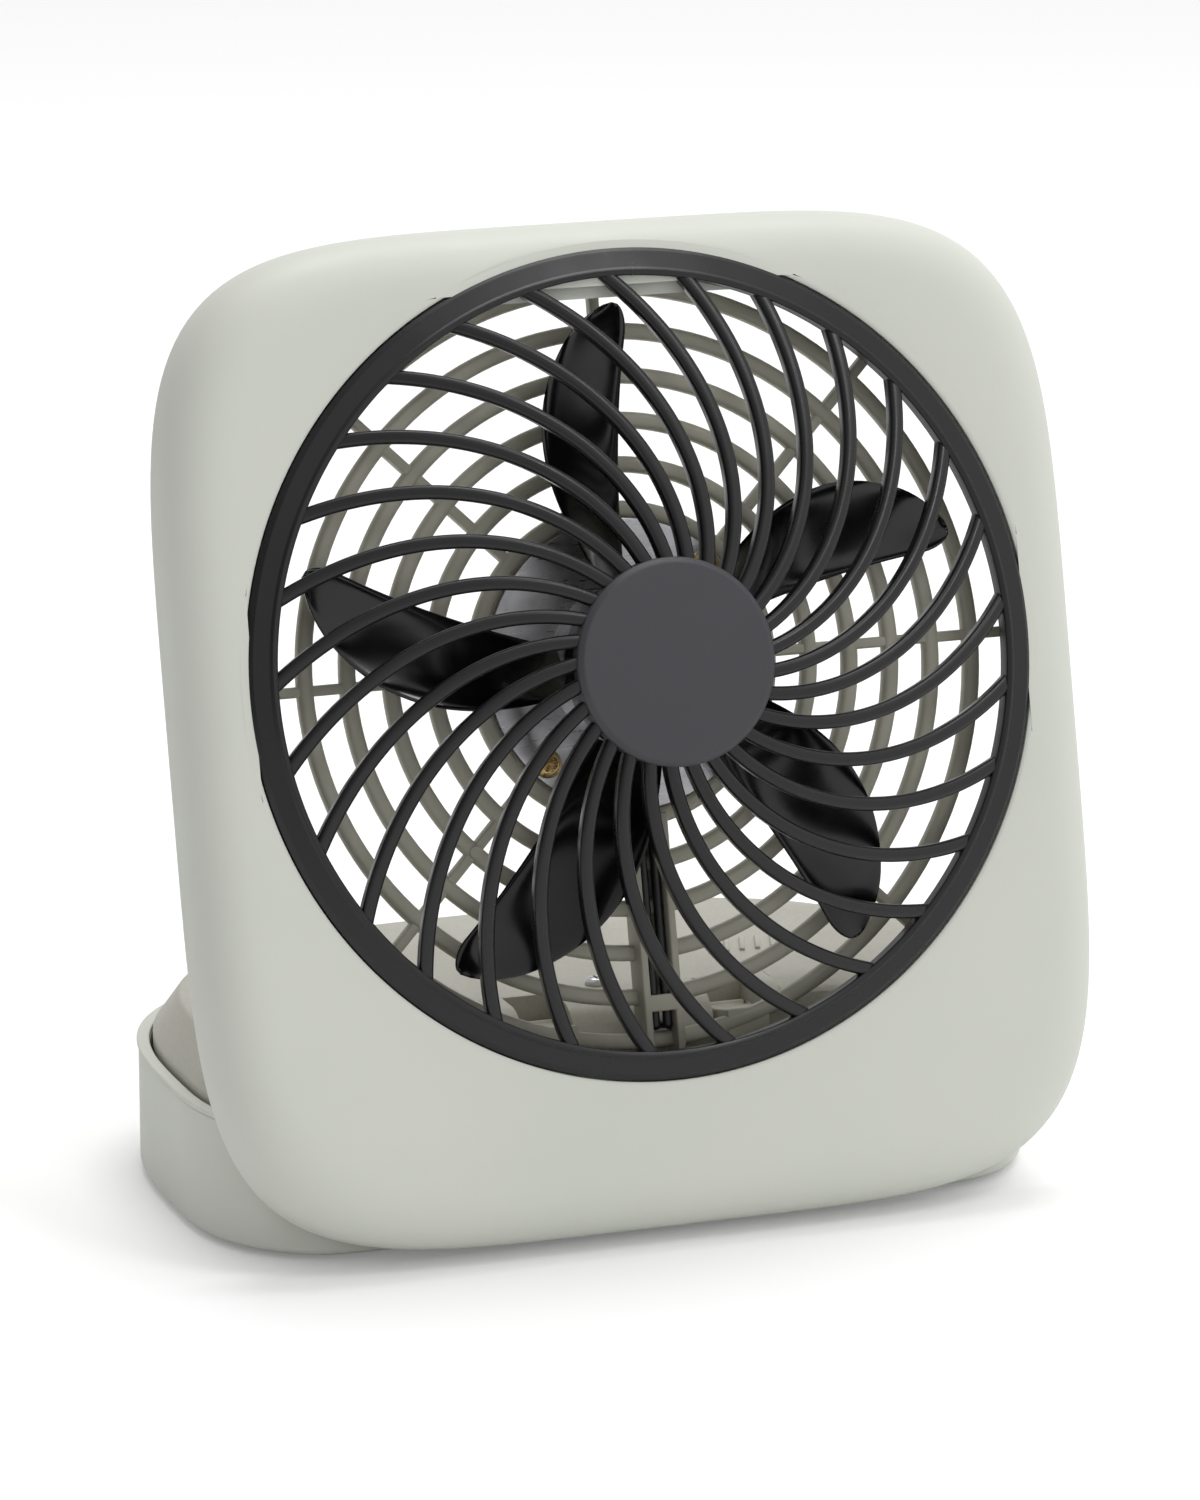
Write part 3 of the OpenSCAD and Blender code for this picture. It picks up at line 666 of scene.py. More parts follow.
def rings_tree() -> bpy.types.NodeTree:
    """Tree of concentric rings of a rounded section, lying across the z axis.

    Returns:
        The tree, with inputs First radius, Pitch, Count, Width, Depth, Corner, Material.
    """
    sizes = ["First radius", "Pitch", "Width", "Depth", "Corner"]
    tree = new_tree("concentric_rings", [("Geometry", "NodeSocketGeometry"), ("Count", "NodeSocketInt"),
                                         *[(s, "NodeSocketFloat") for s in sizes],
                                         ("Material", "NodeSocketMaterial")])
    given = add(tree, "NodeGroupInput").outputs
    points = add(tree, "GeometryNodeMeshLine", {"Count": given["Count"], "Offset": (0, 0, 0)})
    index = add(tree, "GeometryNodeInputIndex").outputs[0]
    steps = add(tree, "ShaderNodeMath", {0: index, 1: given["Pitch"], 2: given["First radius"]},
                operation="MULTIPLY_ADD")
    circle = add(tree, "GeometryNodeCurvePrimitiveCircle", {"Resolution": 144, "Radius": 1.0})
    rings = add(tree, "GeometryNodeInstanceOnPoints",
                {"Points": points.outputs[0], "Instance": circle.outputs["Curve"], "Scale": steps.outputs[0]})
    curves = add(tree, "GeometryNodeRealizeInstances", {"Geometry": rings.outputs[0]})
    section = add(tree, "GeometryNodeCurvePrimitiveQuadrilateral",
                  {"Width": given["Width"], "Height": given["Depth"]}, mode="RECTANGLE")
    rounded = add(tree, "GeometryNodeFilletCurve",
                  {"Curve": section.outputs[0], "Count": 3, "Radius": given["Corner"]}, mode="POLY")
    solid = add(tree, "GeometryNodeCurveToMesh",
                {"Curve": curves.outputs[0], "Profile Curve": rounded.outputs[0]})
    close_tree(tree, solid.outputs[0], given["Material"])
    return tree


def grown(name: str, base: bpy.types.Mesh, tree: bpy.types.NodeTree,
          inputs: dict[str, Any]) -> bpy.types.Mesh:
    """Run a mesh through a geometry tree and keep the result as a plain mesh.

    Args:
        name: the result's name.
        base: the mesh that the tree is given.
        tree: the tree.
        inputs: named input to value.

    Returns:
        The finished mesh.
    """
    host = bpy.data.objects.new(name + "_seed", base)
    bpy.context.scene.collection.objects.link(host)
    modifier = host.modifiers.new("repeat", "NODES")
    modifier.node_group = tree
    sockets = {s.name: s.identifier for s in tree.interface.items_tree if s.in_out == "INPUT"}
    for label, value in inputs.items():
        modifier[sockets[label]] = value
    graph = bpy.context.evaluated_depsgraph_get()
    done = bpy.data.meshes.new_from_object(host.evaluated_get(graph), depsgraph=graph)
    done.name = name
    host.modifiers.remove(modifier)
    bpy.data.objects.remove(host)
    tidy_mesh(done)
    return done


@dataclass
class Workshop:
    """The trees, the materials and the frames that all sub-assemblies share."""

    head: Matrix
    stand: Matrix
    materials: dict[str, bpy.types.Material]
    round_axis: bpy.types.NodeTree
    at_places: bpy.types.NodeTree
    rings: bpy.types.NodeTree

    @classmethod
    def from_joints(cls, joints: Sequence[dict[str, Any]]) -> "Workshop":
        """Find the head's and the stand's frames from the impeller's axis.

        Args:
            joints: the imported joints.

        Returns:
            The workshop, with its trees and materials built.
        """
        spin = next(j for j in joints if j["name"] == "rotor_spin")
        centre, axis = Vector(spin["pos_m"]), Vector(spin["axis"])
        lean = math.atan2(axis.z, axis.y)
        scale = Matrix.Scale(MM, 4)
        finishes = (SHELL_ABS, BACK_ABS, LID_ABS, GRILLE_ABS, DISC_ABS, BLADE_STYRENE, ZINC, YELLOW_ZINC,
                    CELL_FILM, LEAD_PVC, FOOT_RUBBER)
        return cls(head=Matrix.Translation(centre) @ Matrix.Rotation(lean, 4, "X") @ scale,
                   stand=Matrix.Translation((0, centre.y, 0)) @ scale,
                   materials={f.name: f.build() for f in finishes},
                   round_axis=round_tree(), at_places=places_tree(), rings=rings_tree())

    def copies(self, name: str, part: bpy.types.Mesh, places: Sequence[Triple],
               turn: Triple = (0, 0, 0)) -> bpy.types.Mesh:
        """Copy a part to several places.

        Args:
            name: the result's name.
            part: the mesh that is copied.
            places: where the copies go.
            turn: how far each copy is turned beyond the one before, in radians about each axis.

        Returns:
            One mesh of all copies.
        """
        points = bpy.data.meshes.new(name + "_places")
        points.from_pydata(places, [], [])
        holder = bpy.data.objects.new(name + "_part", part)
        bpy.context.scene.collection.objects.link(holder)
        done = grown(name, points, self.at_places, {"Part": holder, "Turn": turn})
        bpy.data.objects.remove(holder)
        return done

    def piece(self, name: str, mesh: bpy.types.Mesh, place: Matrix, finish: Any, body: Body,
              stands_for: Sequence[str] = (), crease: float = 32.0) -> bpy.types.Object:
        """Set a finished mesh in the row frame, dress it and hang it on its body.

        Args:
            name: the piece's name.
            mesh: the mesh, in millimetres.
            place: from its own frame to the row frame, in metres.
            finish: the finish that it takes.
            body: the body that it moves with.
            stands_for: CAD nodes that it replaces.
            crease: edges sharper than this, in degrees, stay crisp.

        Returns:
            The new object.
        """
        mesh.name = name
        mesh.transform(place)
        mesh.materials.clear()
        mesh.materials.append(self.materials[finish.name])
        mesh.polygons.foreach_set("material_index", [0] * len(mesh.polygons))
        mesh.polygons.foreach_set("use_smooth", [True] * len(mesh.polygons))
        mesh.set_sharp_from_angle(angle=math.radians(crease))
        mesh.update()
        obj = bpy.data.objects.new(name, mesh)
        bpy.context.scene.collection.objects.link(obj)
        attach(obj, body.value)
        if stands_for:
            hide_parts(*stands_for)
        LOG.info("%s: %d faces on %s", name, len(mesh.polygons), body.value)
        return obj

    def dress(self, node: str, finish: Any) -> None:
        """Give a CAD node its finish.

        Args:
            node: the node's name.
            finish: the finish that it takes.
        """
        obj = frame["nodes"][node]
        obj.data.materials.clear()
        obj.data.materials.append(self.materials[finish.name])
        LOG.info("%s: dressed as %s", node, finish.name)

    def refined(self, node: str, finish: Any, body: Body,
                radius: float = 0.25) -> bpy.types.Object:
        """Stand a softened copy in for a CAD node whose edges are too crisp for a moulding.

        Args:
            node: the node's name.
            finish: the finish that it takes.
            body: the body that it moves with.
            radius: the radius of its edges, in millimetres.

        Returns:
            The new object.
        """
        copy = frame["nodes"][node].data.copy()
        copy.transform(Matrix.Scale(1 / MM, 4))
        work = bmesh.new()
        work.from_mesh(copy)
        bmesh.ops.remove_doubles(work, verts=work.verts, dist=1e-3)
        bmesh.ops.dissolve_limit(work, angle_limit=math.radians(1), verts=work.verts, edges=work.edges)
        work.to_mesh(copy)
        work.free()
        soft = softened(node + "_soft", copy, radius)
        return self.piece(node + "_moulded", soft, Matrix.Scale(MM, 4), finish, body, [node])


# ------------------------------------------------------------------ the head
@dataclass
class HeadShell:
    """The pillowed front half of the head, round the grille's opening."""

    width: float = 168.0
    height: float = 178.0
    square: float = 5.0
    drop: float = 10.7
    depth: float = 14.0
    wall: float = 2.0
    roll_in: float = 12.0
    roll_power: float = 2.85
    opening_r: float = 73.2
    collar: float = 8.0
    collar_t: float = 1.8
    boss_r: Pair = (1.25, 3.6)  # bore, outside
    boss_levels: Pair = (1.8, 9.8)  # root, end
    steps: int = 288

    def outline(self, inset: float, depth: float) -> list[Triple]:
        """Ring of the head's outline.

        Args:
            inset: how far it is drawn in from the head's edge.
            depth: its level.

        Returns:
            The ring's points.
        """
        reach = power_outline(self.width / 2 - inset, self.height / 2 - inset, self.square, (0, -self.drop))
        return [(x, depth, z) for x, z in ray_ring(reach, (0, -self.drop / 2), self.steps)]

    def circle(self, radius: float, depth: float) -> list[Triple]:
        """Ring about the grille's axis, its points on the same rays as the outline's.

        Args:
            radius: its radius.
            depth: its level.

        Returns:
            The ring's points.
        """
        reach = power_outline(radius, radius, 2, (0, 0))
        return [(x, depth, z) for x, z in ray_ring(reach, (0, -self.drop / 2), self.steps)]

    def roll(self, offset: float, count: int) -> list[Pair]:
        """The edge's roll from the side wall to the flat face, as (inset, depth) points.

        Args:
            offset: how far inside the outer face it runs.
            count: number of points.

        Returns:
            The points, from the side wall to the face.
        """
        points = []
        for i in range(count):
            turn = math.pi / 2 * i / (count - 1)
            across = abs(math.cos(turn)) ** (2 / self.roll_power)
            down = math.sin(turn) ** (2 / self.roll_power)
            points.append((offset + self.roll_in * (1 - across),
                           offset + (self.depth - offset) * (1 - down)))
        return points

    def build(self, shop: Workshop) -> None:
        """Build the shell and its screw bosses.

        Args:
            shop: the shared workshop.
        """
        outer = [self.outline(i, d) for i, d in self.roll(0, 26)]
        lip = ((0.9, 0.0), (0.35, 0.08), (0.08, 0.3), (0, 0.8))
        end, thick, edge = self.collar, self.collar_t, 0.4
        collar = ((0, end - edge), (edge, end), (thick - edge, end), (thick, end - edge),
                  (thick, self.wall + 0.3))
        round_rings = [self.circle(self.opening_r + r, d) for r, d in (*lip, *collar)]
        inner = [self.outline(i, d) for i, d in reversed(self.roll(self.wall, 14))]
        shell = Shape().loft([*outer, *round_rings, *inner], wrap=True)
        shop.piece("front_panel", shell.mesh("front_panel"), shop.head, SHELL_ABS, Body.HEAD,
                   ["front_shell"])
        (bore, out), (low, high) = self.boss_r, self.boss_levels
        boss = Shape().turned(filleted([(bore, low), (out, low), (out, high, 0.3), (bore, high, 0.3)]), 32)
        shop.piece("front_panel_bosses", shop.copies("bosses", boss.mesh("boss"), case_screw_places(0)),
                   shop.head, SHELL_ABS, Body.HEAD)


# The case screws: half their spacing, how far the low pair is above the head's bottom, the high pair's level.
CASE_SCREW_X, CASE_SCREW_UP, CASE_SCREW_TOP = 66.0, 18.0, 60.0
# Depth of the seat that the case screws' heads bear on, in the head's frame.
CASE_SCREW_SEAT = 11.6


def case_screw_places(depth: float) -> list[Triple]:
    """Where the four case screws stand, in the head's frame.

    Args:
        depth: their level.

    Returns:
        The four places.
    """
    shell = HeadShell()
    low = -(shell.height / 2 + shell.drop - CASE_SCREW_UP)
    return [(x, depth, z) for x in (-CASE_SCREW_X, CASE_SCREW_X) for z in (low, CASE_SCREW_TOP)]


@dataclass
class Screw:
    """A pan-head screw with a cross recess. Its seat is at y = 0 and its tip points towards -y."""

    head_r: float
    head_t: float
    shank_r: float
    shank_l: float
    slot_w: float = 0.6

    def mesh(self, name: str) -> bpy.types.Mesh:
        """Build the screw.

        Args:
            name: the mesh's name.

        Returns:
            The screw's mesh.
        """
        tip, shank, head, top = -self.shank_l, self.shank_r, self.head_r, self.head_t
        profile = filleted([(0, tip), (shank * 0.5, tip), (shank, tip + shank), (shank, 0), (head, 0, 0.1),
                            (head, top * 0.45, 0.4), (head * 0.62, top, 0.8), (0, top)], closed=False)
        body = Shape().turned(profile, 40, closed=False).mesh(name)
        long, short = head * 0.58, self.slot_w / 2
        low, high = top * 0.4, top + 1
        for x, z in ((long, short), (short, long)):
            slot = Shape().box((-x, low, -z), (x, high, z))
            body = cut_away(name, body, slot.mesh(name + "_slot"))
        return body


@dataclass
class SwirlGrille:
    """The black front grille: a stepped ring, swirl bars in a shallow dome and the hub disc."""

    ring_r: float = 73.0
    ring_face: float = 5.2
    disc_r: float = 18.2
    rise: float = 15.8
    count: int = 29
    bar_w: float = 2.8
    bar_t: float = 3.3
    swirl_start: float = 3.0
    swirl_mid: float = 50.0
    swirl_rate: float = 0.785
    ring_level: float = -1.4
    skirt: float = 4.5
    disc_wall: float = 2.2
    disc_lip: Pair = (2.5, 3.6)  # thickness, depth behind the face
    stations: int = 44

    def dome(self, radius: float) -> float:
        """Level of the bars' ridge at a radius, on a sphere through the disc's rim and the ring.

        Args:
            radius: distance from the axis.

        Returns:
            The level along the head's depth.
        """
        hub_y, inner = -(self.rise - 1.3), self.ring_r - self.ring_face
        span = (inner ** 2 - self.disc_r ** 2) / (self.ring_level - hub_y)
        centre = (span - hub_y - self.ring_level) / 2 + hub_y + self.ring_level
        ball = math.hypot(centre - hub_y, self.disc_r)
        return centre - math.sqrt(ball ** 2 - radius ** 2)

    def bar(self) -> bpy.types.Mesh:
        """One swirl bar: a rounded ridge in front, flanks that draw in to a narrower back.

        Returns:
            The bar's mesh.
        """
        start, end = self.disc_r - 2, self.ring_r - self.ring_face + 1.4
        half, deep = self.bar_w / 2, self.bar_t
        narrow = half * 0.72
        section = filleted([(-half, 0, 1.0), (half, 0, 1.0), (narrow, deep, 0.35), (-narrow, deep, 0.35)],
                           steps=6)
        rings = []
        for i in range(self.stations + 1):
            radius = start + (end - start) * i / self.stations
            turn = math.radians(self.swirl_start + self.swirl_rate * (radius - self.swirl_mid))
            lean = math.atan(math.radians(self.swirl_rate) * radius)
            side = Vector((-math.sin(turn + lean), 0, math.cos(turn + lean)))
            middle = Vector((radius * math.cos(turn), self.dome(radius), radius * math.sin(turn)))
            rings.append([tuple(middle + side * a + Vector((0, b, 0))) for a, b in section])
        return Shape().loft(rings, caps=True).mesh("bar")

    def build(self, shop: Workshop) -> None:
        """Build the ring, the bars and the disc.

        Args:
            shop: the shared workshop.
        """
        inner, outer, level = self.ring_r - self.ring_face, self.ring_r, self.ring_level
        skirt, skirt_in, back = self.skirt, outer - 1.6, 1.8
        ring = filleted([(inner, level, 0.35), (inner + 1.0, level - 0.35, 0.4),
                         (inner + 1.5, level + 0.2, 0.2), (outer - 0.9, -0.55, 0.5), (outer, 0.25, 0.3),
                         (outer, skirt, 0.2), (skirt_in, skirt, 0.2), (skirt_in, back, 0.2),
                         (inner, back, 0.4)])
        ring_mesh = Shape().turned(ring, 256).mesh("ring")
        shop.piece("grille_ring", ring_mesh, shop.head, GRILLE_ABS, Body.HEAD, ["front_grille"])
        bars = grown("grille_bars", self.bar(), shop.round_axis, {"Count": self.count})
        shop.piece("grille_bars", bars, shop.head, GRILLE_ABS, Body.HEAD, crease=50)
        edge, face = self.disc_r, -self.rise
        lip_in, lip_end, floor = edge - self.disc_lip[0], face + self.disc_lip[1], face + self.disc_wall
        disc = filleted([(0, face), (edge - 0.9, face, 0.7), (edge, face + 0.9, 0.6), (edge, lip_end, 0.3),
                         (lip_in, lip_end, 0.3), (lip_in, floor), (0, floor)], closed=False, steps=6)
        disc_mesh = Shape().turned(disc, 160, closed=False).mesh("disc")
        shop.piece("hub_disc", disc_mesh, shop.head, DISC_ABS, Body.HEAD)


@dataclass
class RearShell:
    """The warm grey back of the head: rim, rings and spokes, motor plate, lead channel and hinge lugs."""

    opening_r: float = 74.0
    first_r: float = 27.5
    pitch: float = 7.85
    rings: int = 6
    bar_w: float = 2.9
    bar_t: float = 3.0
    mid: float = 12.9
    spokes: int = 8
    spoke_w: float = 1.9
    channel: Pair = (-2.6, 4.6)  # left and right side
    channel_wall: float = 1.4
    channel_end: float = 61.0
    lug_x: float = 18.0
    lug_w: float = 8.0
    lug_r: float = 4.0
    pin_r: float = 1.5
    hinge_behind: float = 8.0
    well_r: float = 3.6
    cup_r: float = 5.2
    cup_front: float = 9.8
    lip_h: float = 3.0
    shell: HeadShell = field(default_factory=HeadShell)

    @property
    def front(self) -> float:
        """Level of the rings' front faces."""
        return self.mid - self.bar_t / 2

    @property
    def back(self) -> float:
        """Level of the rings' back faces."""
        return self.mid + self.bar_t / 2

    def rim(self, shop: Workshop) -> bpy.types.Mesh:
        """The flat rim with its locating lip and its four screw cups.

        Args:
            shop: the shared workshop.

        Returns:
            The rim's mesh.
        """
        depth, end = self.shell.depth, self.shell.depth + self.shell.wall
        outer = [(1.6, depth), (1.2, depth + 0.3), (1.2, end - 1.0), (1.5, end - 0.35), (2.4, end)]
        hole = [(0.6, end), (0.1, end - 0.2), (0, end - 0.6), (0, depth)]
        rings = [self.shell.outline(i, d) for i, d in outer]
        rings += [self.shell.circle(self.opening_r + r, d) for r, d in hole]
        plate = Shape().loft(rings, wrap=True).mesh("rim_plate")
        seat, well_r = CASE_SCREW_SEAT, self.well_r
        wells = Shape().turned([(0, seat), (well_r, seat), (well_r, end + 3), (0, end + 3)], 40, closed=False)
        plate = cut_away("rim_plate", plate, shop.copies("wells", wells.mesh("well"), case_screw_places(0)))
        lip_in, lip_out = self.shell.wall + 2.4, self.shell.wall + 1.0
        lip_end = depth - self.lip_h
        lip_path = ((lip_out, depth), (lip_out, lip_end + 0.4), (lip_out + 0.3, lip_end), (lip_in, lip_end),
                    (lip_in, depth))
        lip = [self.shell.outline(i, d) for i, d in lip_path]
        bore, cup_r, base, brim = 1.6, self.cup_r, self.cup_front, end - 0.6
        cup = filleted([(bore, base), (cup_r, base, 0.3), (cup_r, brim), (well_r, brim), (well_r, seat),
                        (bore, seat)])
        cups = shop.copies("cups", Shape().turned(cup, 40).mesh("cup"), case_screw_places(0))
        return joined("rim", [plate, Shape().loft(lip, wrap=True).mesh("lip"), cups])

    def web(self, shop: Workshop) -> bpy.types.Mesh:
        """The rings and spokes.

        Args:
            shop: the shared workshop.

        Returns:
            The web's mesh.
        """
        empty = bpy.data.meshes.new("no_mesh")
        rings = grown("rear_rings", empty, shop.rings,
                      {"Count": self.rings, "First radius": self.first_r, "Pitch": self.pitch,
                       "Width": self.bar_w, "Depth": self.bar_t, "Corner": 1.0})
        rings.transform(Matrix.Translation((0, self.mid, 0)) @ Matrix.Rotation(math.radians(90), 4, "X"))
        half = self.spoke_w / 2
        section = filleted([(-half, self.front + 0.3, 0.5), (half, self.front + 0.3, 0.5),
                            (half, self.back - 0.4, 0.3), (-half, self.back - 0.4, 0.3)], steps=4)
        spoke = Shape().slab(section, self.first_r, self.opening_r + 1).mesh("spoke")
        spokes = grown("rear_spokes", spoke, shop.round_axis, {"Count": self.spokes})
        keep_clear = Shape().box((-3.5, 5, -self.opening_r - 5), (3.5, 20, -self.first_r))
        spokes = cut_away("rear_spokes", spokes, keep_clear.mesh("channel_way"))
        return joined("web", [rings, spokes])

    def fittings(self, shop: Workshop) -> bpy.types.Mesh:
        """The motor plate, the lead channel with its cross tab, and the hinge lugs.

        Args:
            shop: the shared workshop.

        Returns:
            The fittings' mesh.
        """
        plate_r, wall = self.first_r + 1, self.shell.wall
        bore, low, high = 3.2, self.back - wall, self.back
        plate = filleted([(bore, low), (plate_r, low, 0.3), (plate_r, high, 0.5), (bore, high, 0.3)])
        parts = [Shape().turned(plate, 128).mesh("motor_plate")]
        left, right = self.channel
        front = self.front - 3
        for x in (left, right - self.channel_wall):
            low, high = (x, front, -self.opening_r - 1), (x + self.channel_wall, self.back, -plate_r + 2)
            parts.append(softened("channel_wall", Shape().box(low, high).mesh("channel_wall"), 0.35))
        inset_l, inset_r, end = left + 0.1, right - 0.1, -self.channel_end
        tab = Shape().box((inset_l, front - 0.05, end - 0.5), (inset_r, front + 0.9, end + 2.5))
        parts.append(softened("channel_tab", tab.mesh("channel_tab"), 0.3))
        bed = Shape().box((inset_l, self.back - 1.2, end), (inset_r, self.back - 0.2, -plate_r + 2))
        parts.append(bed.mesh("channel_bed"))
        parts.append(self.lugs(shop))
        dot_r, dot_face = 1.15, self.front - 0.25
        dot = filleted([(0, dot_face), (dot_r, dot_face, 0.2), (dot_r, self.mid)], closed=False)
        dots = Shape().turned(dot, 24, closed=False).mesh("pin_mark")
        at = (self.first_r + 2 * self.pitch) * math.cos(math.radians(45))
        parts.append(shop.copies("pin_marks", dots, [(-at, 0, -at), (at, 0, at)]))
        return joined("fittings", parts)

    def lugs(self, shop: Workshop) -> bpy.types.Mesh:
        """The two hinge lugs on their webs.

        Args:
            shop: the shared workshop.

        Returns:
            The lugs' mesh.
        """
        end = self.shell.depth + self.shell.wall
        axis_y, axis_z = hinge_in_head(self, end)
        round_part = [(axis_y + self.lug_r * math.sin(a), axis_z + self.lug_r * math.cos(a))
                      for a in (math.radians(t) for t in range(0, 181, 12))]
        arm, root = 3.2, -self.opening_r - 6
        outline = [(self.front + 0.2, axis_z + arm), (axis_y - 0.5, axis_z + arm), *round_part,
                   (axis_y - 0.5, axis_z - arm), (end - 0.4, axis_z - arm - 0.2), (end - 0.4, root),
                   (self.front + 0.4, root)]
        across = Matrix(((0, 0, 1, 0), (1, 0, 0, 0), (0, 1, 0, 0), (0, 0, 0, 1)))
        lug = Shape().slab(outline, -self.lug_w / 2, self.lug_w / 2, across).mesh("lug")
        turn = [(self.pin_r * math.cos(a) + axis_y, self.pin_r * math.sin(a) + axis_z)
                for a in (math.radians(t) for t in range(0, 360, 12))]
        bore = Shape().slab(turn, -self.lug_w, self.lug_w, across).mesh("bore")
        lug = softened("lug", cut_away("lug", lug, bore), 0.3)
        return shop.copies("lugs", lug, [(-self.lug_x, 0, 0), (self.lug_x, 0, 0)])

    def build(self, shop: Workshop) -> None:
        """Build the rear shell.

        Args:
            shop: the shared workshop.
        """
        whole = joined("rear_frame", [self.rim(shop), self.web(shop), self.fittings(shop)])
        shop.piece("rear_frame", whole, shop.head, BACK_ABS, Body.HEAD, ["rear_shell"])
        screw = Screw(2.8, 1.8, 1.25, 7.0).mesh("case_screw")
        screws = shop.copies("case_screws_cross", screw, case_screw_places(CASE_SCREW_SEAT), (0, 0.7, 0))
        shop.piece("case_screws_cross", screws, shop.head, ZINC, Body.HEAD, ["case_screws"])


def hinge_in_head(rear: RearShell, back: float) -> Pair:
    """Depth and height of the hinge's axis in the head's frame.

    Args:
        rear: the rear shell's sizes.
        back: level of the head's back.

    Returns:
        The axis's depth and height.
    """
    hinge = next(j for j in frame["joints"] if j["name"] == "head_tilt")
    spin = next(j for j in frame["joints"] if j["name"] == "rotor_spin")
    centre, axis = Vector(spin["pos_m"]), Vector(spin["axis"])
    up = Vector((0, -axis.z, axis.y))
    return back + rear.hinge_behind, (Vector(hinge["pos_m"]) - centre).dot(up) / MM


@dataclass
class Impeller:
    """The five-bladed black impeller."""

    tip_r: float = 63.5
    count: int = 5
    thick: float = 1.5
    hub_r: float = 16.0
    hub_front: float = -10.9
    hub_depth: float = 9.5
    tip_start: float = 0.87
    boss: Triple = (1.0, 3.4, -2.4)  # bore, radius, level of its end
    rows: int = 40
    columns: int = 22

    def edges(self, u: float) -> tuple[float, float, float, float]:
        """Angles, in degrees, and depths of the blade's two edges.

        Args:
            u: 0 at the hub and 1 at the tip.

        Returns:
            Leading and trailing angle, then leading and trailing depth.
        """
        lead_angle = 20 - 5.5 * u ** 1.4
        trail_angle = 51 - 9 * u - 21 * u ** 2.6
        return lead_angle, trail_angle, 6.5 - 1.9 * u, -6.5 + 9.7 * u ** 1.3

    def blade(self) -> bpy.types.Mesh:
        """One blade, with rounded edges and a rounded tip.

        Returns:
            The blade's mesh.
        """
        rings = []
        for i in range(self.rows + 1):
            u = 1 - (1 - i / self.rows) ** 1.35
            lead, trail, deep_lead, deep_trail = self.edges(u)
            past = max(0.0, (u - self.tip_start) / (1 - self.tip_start))
            narrow = max(0.0004, 1 - past ** 2.6) ** 0.48
            radius = self.hub_r - 1 + (self.tip_r - self.hub_r + 1) * u
            ring = []
            for face, sweep in ((-1, range(self.columns + 1)), (1, range(self.columns - 1, 0, -1))):
                for k in sweep:
                    v = (1 - math.cos(math.pi * k / self.columns)) / 2
                    turn = math.radians((lead + trail) / 2 + (trail - lead) / 2 * narrow * (2 * v - 1))
                    camber = 1.6 * math.sin(math.pi * v) * (1 - 0.5 * u)
                    level = deep_lead + (deep_trail - deep_lead) * (0.5 + (v - 0.5) * narrow) + camber
                    bevel = (1 - abs(2 * v - 1) ** 8) ** 0.5
                    half = self.thick / 2 * (1 - 0.35 * (2 * v - 1) ** 2) * bevel * min(1.0, narrow * 2.5)
                    ring.append((radius * math.cos(turn), level + face * half, radius * math.sin(turn)))
            rings.append(ring)
        return Shape().loft(rings, caps=True).mesh("blade")

    def build(self, shop: Workshop) -> None:
        """Build the impeller.

        Args:
            shop: the shared workshop.
        """
        blades = grown("blades", self.blade(), shop.round_axis, {"Count": self.count})
        front, inner = self.hub_front, self.hub_r - 1.4
        back, floor = front + self.hub_depth, front + 1.6
        bore, boss_r, boss_end = self.boss
        cup = filleted([(bore, front), (self.hub_r, front, 1.6), (self.hub_r, back, 0.4), (inner, back, 0.4),
                        (inner, floor, 0.5), (boss_r, floor), (boss_r, boss_end, 0.3), (bore, boss_end)])
        hub = Shape().turned(cup, 96).mesh("hub")
        shop.piece("impeller_moulded", joined("impeller_moulded", [hub, blades]), shop.head, BLADE_STYRENE,
                   Body.ROTOR, ["impeller"], crease=45)


@dataclass
class MotorGroup:
    """The motor, its clamp cup and screws, and the leads that leave it."""

    screw_r: float = 23.0
    seat: float = 10.9

    def build(self, shop: Workshop) -> None:
        """Dress the motor and set its screws.

        Args:
            shop: the shared workshop.
        """
        screw = Screw(2.6, 1.6, 1.1, 3.4).mesh("plate_screw")
        screw.transform(Matrix.Rotation(math.pi, 4, "X"))
        places = [(self.screw_r * math.cos(a), self.seat, self.screw_r * math.sin(a))
                  for a in (math.radians(45), math.radians(225))]
        screws = shop.copies("motor_plate_screws_cross", screw, places, (0, 0.5, 0))
        shop.piece("motor_plate_screws_cross", screws, shop.head, YELLOW_ZINC, Body.HEAD,
                   ["motor_plate_screws"])
        shop.refined("motor_clamp", ZINC, Body.HEAD)
        shop.refined("motor", ZINC, Body.HEAD, 0.4)
        shop.dress("motor_shaft", ZINC)
        shop.dress("head_leads", LEAD_PVC)


